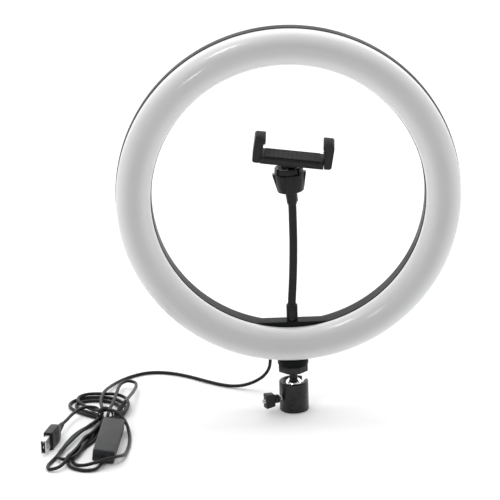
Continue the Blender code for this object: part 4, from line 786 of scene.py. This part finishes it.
def make_knob():
    """The lock knob: a waisted two-winged grip on a hub, with a plated screw through it."""
    grip = bar("knob_grip", (0.0134, 0.0076, 0.0087), (0, 0, 0.02465))
    open_mesh(grip)
    bpy.ops.mesh.select_all(action="SELECT")
    bpy.ops.mesh.subdivide(number_cuts=5)
    waist = bmesh.from_edit_mesh(grip.data)
    for vert in waist.verts:
        across = abs(vert.co.x) / 0.0067
        near_hub = (0.029 - vert.co.z) / 0.0087
        vert.co.y *= 0.80 + 0.20 * across
        vert.co.x *= 1 - 0.16 * near_hub * across
    bmesh.update_edit_mesh(grip.data)
    close_mesh()
    soften(tidy(grip), 0.0009, 4, 50)
    hub = lathe("knob_hub", [
        (0, 0.0155), (0.0034, 0.0155), (0.0037, 0.0157), (0.0038, 0.0160), (0.0038, 0.0209), (0, 0.0209),
    ], 48)
    join_or_cut(grip, hub, "UNION")
    join_or_cut(grip, pin("knob_bore", 0.0023, 0.0135, 0.031, 32))
    settle(tidy(grip), KNOB)
    fit(grip, FINISH["grip"], "knob", "lock_knob")

    thread = [(0, 0.0093), (0.0015, 0.0093)]
    for k in range(8):
        thread += [(0.0017, 0.0096 + 0.0007 * k), (0.0020, 0.00995 + 0.0007 * k)]
    thread += [(0.0017, 0.0152), (0.0020, 0.0156), (0.0020, 0.0306), (0.0018, 0.0310), (0.0014, 0.0312), (0, 0.0312)]
    screw = lathe("knob_thread", thread, 32)
    settle(screw, KNOB, 28)
    fit(screw, FINISH["steel"], "knob", "knob_screw")


# ---------------------------------------------------------------- gooseneck

def neck_point(distance):
    return NECK @ Vector((0, 0, distance))


def hose_route(start, end):
    """The hose's middle line: upright below, leaning with the clip above."""
    low, high = Vector((0.0003, -0.0045, 0.1013)), neck_point(-0.0247)
    between = [low.lerp(high, t) + Vector((0.0012 * math.sin(math.pi * t), 0, 0)) for t in (0.3, 0.6, 0.85)]
    return [Vector((0.0003, -0.0045, start)), low, *between, high, neck_point(end)]


def make_neck():
    """Lower ferrule, hose over its steel core, and the tapered upper ferrule."""
    ferrule = lathe("neck_ferrule", [
        (0.0028, 0.0869), (0.0045, 0.0869), (0.0049, 0.0871), (0.0050, 0.0875), (0.0050, 0.0892), (0.0047, 0.0894),
        (0.0047, 0.0899), (0.0050, 0.0901), (0.0050, 0.1003), (0.0048, 0.1009), (0.0042, 0.1013), (0.0039, 0.1013),
        (0.0039, 0.0933), (0.0028, 0.0933),
    ], 56, closed=True)
    settle(ferrule, Matrix.Translation((0.0003, -0.0045, 0)), 30)
    fit(ferrule, FINISH["satin"], "neck_foot", "lower_ferrule")

    line = flowing(hose_route(0.0936, -0.0170), 0.0012)
    hose = as_mesh(strand("neck_sleeve", line, 0.0036, 6))
    settle(hose, None, 50)
    fit(hose, FINISH["hose"], None, "gooseneck_hose")
    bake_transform(hose)
    core = as_mesh(strand("neck_core", flowing(hose_route(0.0939, -0.0173), 0.004), 0.0020, 3))
    settle(core, None, 50)
    fit(core, FINISH["steel"], None, "gooseneck_core")
    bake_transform(core)

    upper = lathe("upper_taper", [
        (0, -0.0129), (0.0050, -0.0129), (0.0053, -0.0132), (0.0052, -0.0140), (0.0044, -0.0238), (0.0042, -0.0245),
        (0.0039, -0.0247), (0.0039, -0.0167), (0, -0.0167),
    ], 48)
    rib = bar("taper_rib", (0.0022, 0.0016, 0.0095), (0.0042, 0, -0.0180))
    soften(rib, 0.0003, 2)
    join_or_cut(upper, rib, "UNION")
    settle(tidy(upper), NECK, 30)
    fit(upper, FINISH["satin"], "neck_head", "upper_ferrule")


def make_socket():
    """The slit ball socket under the clip, its closing nut with six ears, and the ball itself."""
    bowl = bend((0, 0), 0.0069, 33, -90, 16)
    bowl[-1] = (0, -0.0069)
    socket = lathe("ball_socket", [
        (0, -0.0126), (0.0088, -0.0126), (0.0096, -0.0123), (0.0098, -0.0116), (0.0098, 0.0043), (0.0123, 0.0043),
        (0.0127, 0.0047), (0.0122, 0.0089), (0.0117, 0.0094), (0.0103, 0.0094), (0.0100, 0.0092), *bowl,
    ], 72)
    for bearing in (40, 130):
        slit = bar("slit", (0.0305, 0.0018, 0.02), (0, 0, 0.0108))
        slit.rotation_euler.z = math.radians(bearing)
        take(slit)
        bpy.ops.object.transform_apply(location=True, rotation=True, scale=True)
        join_or_cut(socket, slit)
    soften(tidy(socket), 0.00025, 2, 45)
    settle(socket, NECK)
    fit(socket, FINISH["satin"], "neck_head", "clip_socket")

    nut = lathe("ear_nut", [
        (0.0101, -0.0126), (0.0108, -0.0126), (0.0114, -0.0123), (0.0117, -0.0118), (0.0131, 0.0033), (0.0130, 0.0037),
        (0.0126, 0.0040), (0.0101, 0.0040),
    ], 72, closed=True)
    ear = bar("ear", (0.0012, 0.0055, 0.0150), (0, 0, 0))
    open_mesh(ear)
    for high in (True, False):
        choose("VERT", lambda v: (v.co.z > 0) == high)
        reach = 0.0128 if high else 0.0110
        bpy.ops.transform.translate(value=(reach, 0, -0.0037 if high else -0.0037))
    choose("VERT", lambda v: v.co.z > 0 and v.co.x > 0.0133)
    bpy.ops.transform.translate(value=(0.00145, 0, 0))
    choose("FACE", lambda f: f.normal.x > 0.7)
    bpy.ops.mesh.bevel(offset=0.0005, segments=3, affect="EDGES")
    close_mesh()
    for k in range(6):
        copy = twin(ear, f"ear_{k}", Matrix.Rotation(math.tau * k / 6, 4, "Z"))
        join_or_cut(nut, copy, "UNION")
    bpy.data.objects.remove(ear, do_unlink=True)
    join_or_cut(nut, pin("nut_bore", 0.0101, -0.02, 0.01, 72))
    soften(tidy(nut), 0.0002, 2, 45)
    settle(nut, NECK)
    fit(nut, FINISH["satin"], "nut", "socket_nut")

    ball = lathe("clip_joint_ball", bend((0, 0), 0.0066, -90, 90, 30), 56)
    settle(ball, NECK, 60)
    fit(ball, FINISH["satin"], "clip_joint", "clip_ball")


# ---------------------------------------------------------------- phone clip

BACK, FACE, HOOK_TOP = 0.0187, 0.0236, 0.0419
INNER, OUTER = 0.0276, 0.0344


def hook(side):
    """A hook's outline: a rounded post whose lip curls in over the phone."""
    points = [
        (INNER + 0.0002, BACK - 0.0019), *bend((OUTER - 0.0026, BACK + 0.0007), 0.0026, -90, 0, 6),
        *bend((OUTER - 0.0026, HOOK_TOP - 0.0026), 0.0026, 0, 90, 6),
        *bend((INNER - 0.0018, HOOK_TOP - 0.0010), 0.0010, 90, 180, 4),
        *bend((INNER - 0.0018, HOOK_TOP - 0.0035), 0.0010, 180, 235, 3), (INNER, HOOK_TOP - 0.0053),
        (INNER, BACK + 0.0002), (INNER + 0.0002, BACK),
    ]
    return [(side * x, z) for x, z in points]


def upright(name, outline, half):
    """A slab stood up, its outline in X and Z and its thickness along Y."""
    obj = slab(name, outline, -half, half)
    obj.matrix_world = Matrix.Rotation(math.pi / 2, 4, "X")
    take(obj)
    bpy.ops.object.transform_apply(location=True, rotation=True, scale=True)
    return tidy(obj)


def make_clip_body():
    left, right = -0.0282, 0.0272
    body = bar("clip_bar", (right - left, 0.015, FACE - BACK), ((left + right) / 2, 0, (BACK + FACE) / 2))
    open_mesh(body)
    choose("EDGE", lambda e: abs(e.verts[0].co.x - e.verts[1].co.x) > 0.01 and middle(e).z > 0.021)
    bpy.ops.mesh.bevel(offset=0.0016, segments=5, affect="EDGES")
    close_mesh()
    fixed = upright("fixed_hook", hook(-1), 0.0065)
    soften(fixed, 0.0006, 3, 40)
    join_or_cut(body, fixed, "UNION")
    channel = bar("jaw_channel", (0.0634, 0.0122, 0.0052), (0.0055, 0, 0.0193))
    join_or_cut(body, channel)
    for y in (-0.004, 0.004):
        join_or_cut(body, pin("pilot", 0.0011, 0.0209, 0.0233, 20, (-0.018, y)))
    settle(tidy(body), CLIP, 34)
    fit(body, FINISH["satin"], "clip", "clip_body")


def make_clip_back():
    cover = bar("clip_cover", (0.0548, 0.0146, 0.0018), (-0.0002, 0, 0.0175))
    open_mesh(cover)
    choose("FACE", lambda f: f.normal.z < -0.9)
    bpy.ops.mesh.bevel(offset=0.0008, segments=4, affect="EDGES")
    choose("FACE", lambda f: f.normal.z < -0.9 and f.calc_area() > 0.0003)
    bpy.ops.mesh.inset(thickness=0.0012)
    bpy.ops.mesh.inset(thickness=0.0004, depth=-0.0003)
    close_mesh()
    for y in (-0.004, 0.004):
        join_or_cut(cover, pin("cover_hole", 0.0011, 0.0156, 0.0194, 24, (-0.018, y)))
    settle(tidy(cover), CLIP, 34)
    fit(cover, FINISH["satin"], "clip", "clip_back_cover")

    foot = bend((0, 0), 0.0069, 90, 66.1, 5)
    foot[0] = (0, 0.0069)
    stub = lathe("clip_stalk", [
        *foot, (0.0028, 0.0108), (0.0031, 0.0117), (0.0040, 0.0133), (0.0056, 0.0148), (0.0062, 0.0153), (0.0062, 0.0161),
        (0.0060, 0.0163), (0, 0.0163),
    ], 48)
    settle(stub, CLIP, 30)
    fit(stub, FINISH["satin"], "clip", "clip_stub")


def make_jaw():
    """The sliding hook with its tongue and two bores for the guide rods."""
    jaw = upright("slide_hook", hook(1), 0.0065)
    soften(jaw, 0.0006, 3, 40)
    tongue = bar("tongue", (0.0366, 0.0075, 0.0018), (0.0099, 0, 0.0203))
    soften(tongue, 0.0003, 2)
    join_or_cut(jaw, tongue, "UNION")
    for y in (-0.005, 0.005):
        bore = pin("rod_bore", 0.0011, 0.0256, 0.0309, 20)
        settle(bore, Matrix.Translation((0, y, 0.0203)) @ Matrix.Rotation(math.pi / 2, 4, "Y"))
        join_or_cut(jaw, bore)
    settle(tidy(jaw), CLIP, 34)
    fit(jaw, FINISH["satin"], "jaw", "sliding_jaw")


def make_pads():
    """The grippy pad on the bar, sculpted with shallow ribs, and a pad inside each hook."""
    pad = bar("bar_pad", (0.0480, 0.0112, 0.0010), (0, 0, 0.0244))
    open_mesh(pad)
    choose("FACE", lambda f: f.normal.z > 0.9)
    bpy.ops.mesh.inset(thickness=0.0006)
    choose("FACE", lambda f: f.normal.z > 0.9 and f.calc_area() > 0.0004)
    bpy.ops.transform.translate(value=(0, 0, 0.0000))
    close_mesh()
    soften(pad, 0.0003, 3, 60)
    for k in range(11):
        groove = bar("groove", (0.0007, 0.0084, 0.0006), (-0.020 + 0.004 * k, 0, 0.0249))
        join_or_cut(pad, groove)
    settle(tidy(pad), CLIP, 30)
    fit(pad, FINISH["pad"], "clip", "clip_pad")
    for name, side, body, node_name in (
        ("hook_pad_fixed", -1, "clip", "fixed_hook_pad"), ("hook_pad_jaw", 1, "jaw", "jaw_pad"),
    ):
        cushion = bar(name, (0.0010, 0.0100, 0.0093), (side * 0.0268, 0, 0.03025))
        soften(cushion, 0.00035, 3)
        for k in range(3):
            groove = bar("groove", (0.0006, 0.0084, 0.0006), (side * 0.0263, 0, 0.0280 + 0.0022 * k))
            join_or_cut(cushion, groove)
        settle(tidy(cushion), CLIP, 30)
        fit(cushion, FINISH["pad"], body, node_name)


# ---------------------------------------------------------------- controller and plug

def half_case(name, low, high):
    """One half of the controller's case, rounded outside and hollow inside."""
    case = bar(name, (0.072, 0.019, high - low), (0, 0, (low + high) / 2))
    open_mesh(case)
    face = high if high > 0 else low
    choose("EDGE", lambda e: all(abs(v.co.z - face) < 1e-5 for v in e.verts)
           or abs(e.verts[0].co.z - e.verts[1].co.z) > 0.002)
    bpy.ops.mesh.bevel(offset=0.0016, segments=5, affect="EDGES")
    close_mesh()
    seam, inward = (low, 1) if high > 0 else (high, -1)
    hollow = bar("hollow", (0.0692, 0.0162, 0.0063), (0, 0, seam + inward * (0.0042 - 0.00315)))
    join_or_cut(case, hollow)
    return case


def make_controller():
    top = half_case("case_top", 0.00015, 0.00575)
    nose = bar("nose_cut", (0.012, 0.03, 0.006), (-0.0385, 0, 0.0078))
    nose.rotation_euler.y = math.radians(-26)
    take(nose)
    bpy.ops.object.transform_apply(location=True, rotation=True, scale=True)
    bpy.data.objects.remove(nose, do_unlink=True)
    settle(tidy(top), CONTROLLER, 34)
    fit(top, FINISH["case"], "base", "controller_top")
    under = half_case("case_base", -0.00575, -0.00015)
    for k in range(3):
        x = (k - 1) * 0.014
        join_or_cut(under, pin("button_hole", 0.0026, -0.0078, -0.0033, 36, (x, 0)))
    settle(tidy(under), CONTROLLER, 34)
    fit(under, FINISH["case"], "base", "controller_base")
    cap = lathe("button_cap", [
        (0, -0.00625), (0.0012, -0.00620), (0.0018, -0.00610), (0.0021, -0.0059), (0.0022, -0.0056), (0.0022, -0.00405),
        (0.0031, -0.00405), (0.0031, -0.00335), (0, -0.00335),
    ], 40)
    take(cap)
    bpy.ops.object.shade_smooth_by_angle(angle=math.radians(32))
    for k in range(3):
        copy = twin(cap, f"button_cap_{k + 1}", CONTROLLER @ Matrix.Translation(((k - 1) * 0.014, 0, 0)))
        fit(copy, FINISH["rubber"], f"key_{k + 1}", f"button_{k + 1}")
    bpy.data.objects.remove(cap, do_unlink=True)


def make_reliefs():
    """The bent, ringed strain relief at the controller's far end, and the short one at its near end."""
    route = flowing([Vector(p) * 0.001 for p in (
        (-159.8, -37.3, 7.4), (-158.5, -28, 9), (-155.6, -18, 12), (-150.7, -7.2, 14.9))], 0.0006)
    radii = []
    for k in range(len(route)):
        share = k / (len(route) - 1)
        ringed = 0.0003 if k % 5 in (3, 4) and 0.12 < share < 0.9 else 0.0
        radii.append(0.0031 + (0.0019 - 0.0031) * share - ringed)
    bent = as_mesh(strand("relief_far", route, 1.0, 6, radii))
    settle(bent, None, 40)
    fit(bent, FINISH["rubber"], "base", "relief_in")
    near = lathe("relief_near", [
        (0, 0.0363), (0.0020, 0.0363), (0.0022, 0.0365), (0.0022, 0.0376), (0.0019, 0.0378), (0.0019, 0.0384),
        (0.00215, 0.0386), (0.00210, 0.0397), (0.0018, 0.0399), (0.0018, 0.0405), (0.00205, 0.0407), (0.0019, 0.0429),
        (0, 0.0430),
    ], 40)
    settle(near, CONTROLLER @ Matrix.Translation((0, 0, -0.0028)) @ Matrix.Rotation(math.pi / 2, 4, "Y"))
    fit(near, FINISH["rubber"], "base", "relief_out")


def make_plug():
    """The plug on its narrow edge: moulded grip with finger ribs and folded metal shell."""
    grip = bar("plug_body", (0.026, 0.008, 0.016), (0.026, 0, 0))
    open_mesh(grip)
    bpy.ops.mesh.select_all(action="SELECT")
    bpy.ops.mesh.subdivide(number_cuts=7)
    shaped = bmesh.from_edit_mesh(grip.data)
    for vert in shaped.verts:
        share = (vert.co.x - 0.013) / 0.026
        slim = 1.0 - 0.34 * max(0.0, 1 - share / 0.30) ** 1.6
        vert.co.z *= slim
        vert.co.y *= 1.0 - 0.22 * max(0.0, 1 - share / 0.30) ** 1.6
    bmesh.update_edit_mesh(grip.data)
    close_mesh()
    soften(tidy(grip), 0.0016, 4, 50)
    for k in range(4):
        for side in (-1, 1):
            groove = bar("rib", (0.0009, 0.0010, 0.0100), (0.0215 + 0.0026 * k, side * 0.0041, 0))
            join_or_cut(grip, groove)
    taper = lathe("plug_taper", [
        (0, 0.0003), (0.0019, 0.0003), (0.0021, 0.0005), (0.0022, 0.0024), (0.0020, 0.0026), (0.0020, 0.0032),
        (0.0025, 0.0034), (0.0026, 0.0054), (0.0023, 0.0056), (0.0023, 0.0062), (0.0029, 0.0064), (0.0030, 0.0084),
        (0.0027, 0.0086), (0.0027, 0.0092), (0.0033, 0.0094), (0.0036, 0.0150), (0, 0.0150),
    ], 40)
    settle(taper, Matrix.Rotation(math.pi / 2, 4, "Y"))
    join_or_cut(grip, taper, "UNION")
    settle(tidy(grip), PLUG, 34)
    fit(grip, FINISH["satin"], "base", "plug_grip")

    shell = bar("plug_sleeve", (0.0125, 0.0045, 0.012), (0.04555, 0, 0))
    open_mesh(shell)
    choose("EDGE", lambda e: abs(e.verts[0].co.x - e.verts[1].co.x) > 0.01)
    bpy.ops.mesh.bevel(offset=0.0006, segments=4, affect="EDGES")
    close_mesh()
    join_or_cut(shell, bar("hollow", (0.0135, 0.0037, 0.0112), (0.04655, 0, 0)))
    for side in (-1, 1):
        for z in (-0.0026, 0.0026):
            join_or_cut(shell, bar("window", (0.0018, 0.0010, 0.0018), (0.0462, side * 0.0022, z)))
    settle(tidy(shell), PLUG, 30)
    fit(shell, FINISH["nickel"], "base", "plug_shell")


# ---------------------------------------------------------------- cord

def metres(points):
    return [Vector(p) * 0.001 for p in points]


def split_at(line, distance):
    """The index of the first point this far along the line."""
    travelled = 0.0
    for k in range(1, len(line)):
        travelled += (line[k] - line[k - 1]).length
        if travelled >= distance:
            return k
    return len(line) - 1


def cord_piece(name, line, mesh=False):
    obj = strand(name, line, JACKET, 5)
    if mesh:
        obj = as_mesh(obj)
        settle(obj, None, 60)
    obj.data.materials.clear()
    obj.data.materials.append(FINISH["jacket"])
    length = sum((q - p).length for p, q in zip(line, line[1:]))
    return obj, length


def on_cord(*names):
    """The finished pieces that a cord carries."""
    return [bpy.data.objects[name] for name in names]


def make_cords():
    whole = flowing(metres(LEAD_DROP + LONG_CORD), 0.0018)
    upper = split_at(whole, 0.031)
    lower = split_at(whole, 0.064)
    floor = split_at(whole, 0.190)
    first, _ = cord_piece("lead_at_ring", whole[: upper + 1], mesh=True)
    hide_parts("lead_drop")
    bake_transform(first)
    second, _ = cord_piece("lead_at_stem", whole[upper : lower + 1], mesh=True)
    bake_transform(second)
    third, _ = cord_piece("lead_to_table", whole[lower : floor + 1], mesh=True)
    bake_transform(third)
    carried = on_cord("case_top", "case_base", "button_cap_1", "button_cap_2", "button_cap_3", "relief_far", "tie_wrap")
    carried.append(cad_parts["controller_board"])
    rest, _ = cord_piece("long_cord", whole[floor:])
    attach(rest, "base")
    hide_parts("lead_run", "controller_run", "right_loop", "upper_loops", "lower_loops")
    last = flowing(metres(PLUG_CORD), 0.0018)
    tail, _ = cord_piece("plug_cord", last)
    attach(tail, "base")
    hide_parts("controller_tail", "plug_run")


def make_tie():
    """The wire tie: two flat turns round the bundle, twisted off on top."""
    wrap = []
    for k in range(161):
        a = math.tau * 5 * k / 160
        wrap.append(Vector((
            -0.1683 + 0.0064 * math.cos(a), -0.0185 + 0.0026 * (k / 80 - 1), 0.0077 + 0.0070 * math.sin(a))))
    ends = []
    top = wrap[-1]
    for k in range(1, 25):
        a = math.tau * 3 * k / 24
        ends.append(top + Vector((0.0004 + 0.00035 * k, -0.0009 + 0.0007 * math.cos(a) - 0.0002 * k, 0.0007 * math.sin(a) + 0.0001 * k)))
    tie = as_mesh(strand("tie_wrap", wrap + ends, 0.00055, 3))
    settle(tie, None, 50)
    fit(tie, FINISH["tie"], "base", "cord_tie")


# ---------------------------------------------------------------- studio

ROOM_NEAR, ROOM_FAR = 0.20, 1.5
KEY_POWER, KICK_POWER, TOP_POWER = 9, 1.1, 20

def make_camera():
    data = bpy.data.cameras.new("camera")
    data.lens = 180.92
    data.sensor_width = 36
    data.clip_start = 0.05
    data.clip_end = 100
    camera = bpy.data.objects.new("camera", data)
    bpy.context.scene.collection.objects.link(camera)
    ahead = Vector((0.000825, 0.945689, -0.325073)).normalized()
    side = ahead.cross(Vector((0, 0, 1))).normalized()
    up = side.cross(ahead)
    roll = math.radians(-2)
    right = math.cos(roll) * side + math.sin(roll) * up
    above = -math.sin(roll) * side + math.cos(roll) * up
    turn = Matrix((right, above, -ahead)).transposed().to_4x4()
    camera.matrix_world = Matrix.Translation((-0.03663, -2.08051, 0.86636)) @ turn
    bpy.context.scene.camera = camera


def soft_box(name, place, aim, size, power, tint=(1, 1, 1)):
    data = bpy.data.lights.new(name, "AREA")
    data.shape = "RECTANGLE"
    data.size, data.size_y = size
    data.energy = power
    data.color = tint
    box = bpy.data.objects.new(name, data)
    bpy.context.scene.collection.objects.link(box)
    box.location = place
    box.rotation_euler = (Vector(aim) - Vector(place)).to_track_quat("-Z", "Y").to_euler()
    return box


def make_studio():
    """A plain pale floor, a bright even room and soft boxes."""
    clear_selection()
    bpy.ops.mesh.primitive_grid_add(x_subdivisions=4, y_subdivisions=4, size=60, location=(0, 0, 0))
    floor = label("floor")
    material, tree, shader, place = start_finish("pale floor", Roughness=0.75)
    slow = add_node(tree, "ShaderNodeTexNoise", Vector=place, Scale=3.0, Detail=2.0)
    colour = blend_colours(tree, slow.outputs["Fac"], (0.93, 0.93, 0.935), (0.95, 0.95, 0.955))
    tree.links.new(colour, shader.inputs["Base Color"])
    shader.inputs["Specular IOR Level"].default_value = 0.2
    floor.data.materials.append(material)
    world = bpy.data.worlds.new("room")
    bpy.context.scene.world = world
    world.use_nodes = True
    room = world.node_tree
    sky = room.nodes["Background"]
    sky.inputs["Color"].default_value = (1, 1, 1, 1)
    ways = add_node(room, "ShaderNodeTexCoord")
    split = add_node(room, "ShaderNodeSeparateXYZ", Vector=ways.outputs["Generated"])
    depth = remap(room, split.outputs["Y"], ROOM_NEAR, ROOM_FAR, -0.85, 0.45)
    room.links.new(depth, sky.inputs["Strength"])
    soft_box("key", (-0.9, -1.5, 1.9), (0, 0, 0.2), (0.5, 0.5), KEY_POWER)
    soft_box("flash", (-0.50, -2.0, 0.34), (0, 0, 0.2), (0.16, 0.16), KICK_POWER)
    soft_box("overhead", (0, 0.3, 2.6), (0, 0, 0), (2.4, 2.0), TOP_POWER)
    bpy.context.scene.view_settings.view_transform = "Standard"


make_camera()
make_gland()
make_plug()
make_controller()
make_reliefs()
make_tie()
make_cords()
make_cover()
make_housing()
make_housing_screws()
make_cup()
make_ball()
make_stem()
make_lock_disc()
make_knob()
make_neck()
make_socket()
make_clip_body()
make_clip_back()
make_jaw()
make_pads()
make_studio()

CARRIED = {
    "board": ("led_board",),
    "mask": ("controller_board",),
    "satin": ("plug_tongue",),
    "brass": ("base_insert", "foot_insert", "neck_insert"),
    "nylon": ("ball_seat", "brake_pad"),
    "steel": ("camera_stud", "neck_stud", "guide_rod_1", "guide_rod_2", "jaw_spring", "clip_screw_1", "clip_screw_2"),
}
for finish_name, names in CARRIED.items():
    for node_name in names:
        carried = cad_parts[node_name]
        for slot in carried.material_slots:
            slot.material = FINISH[finish_name]

clear_selection()
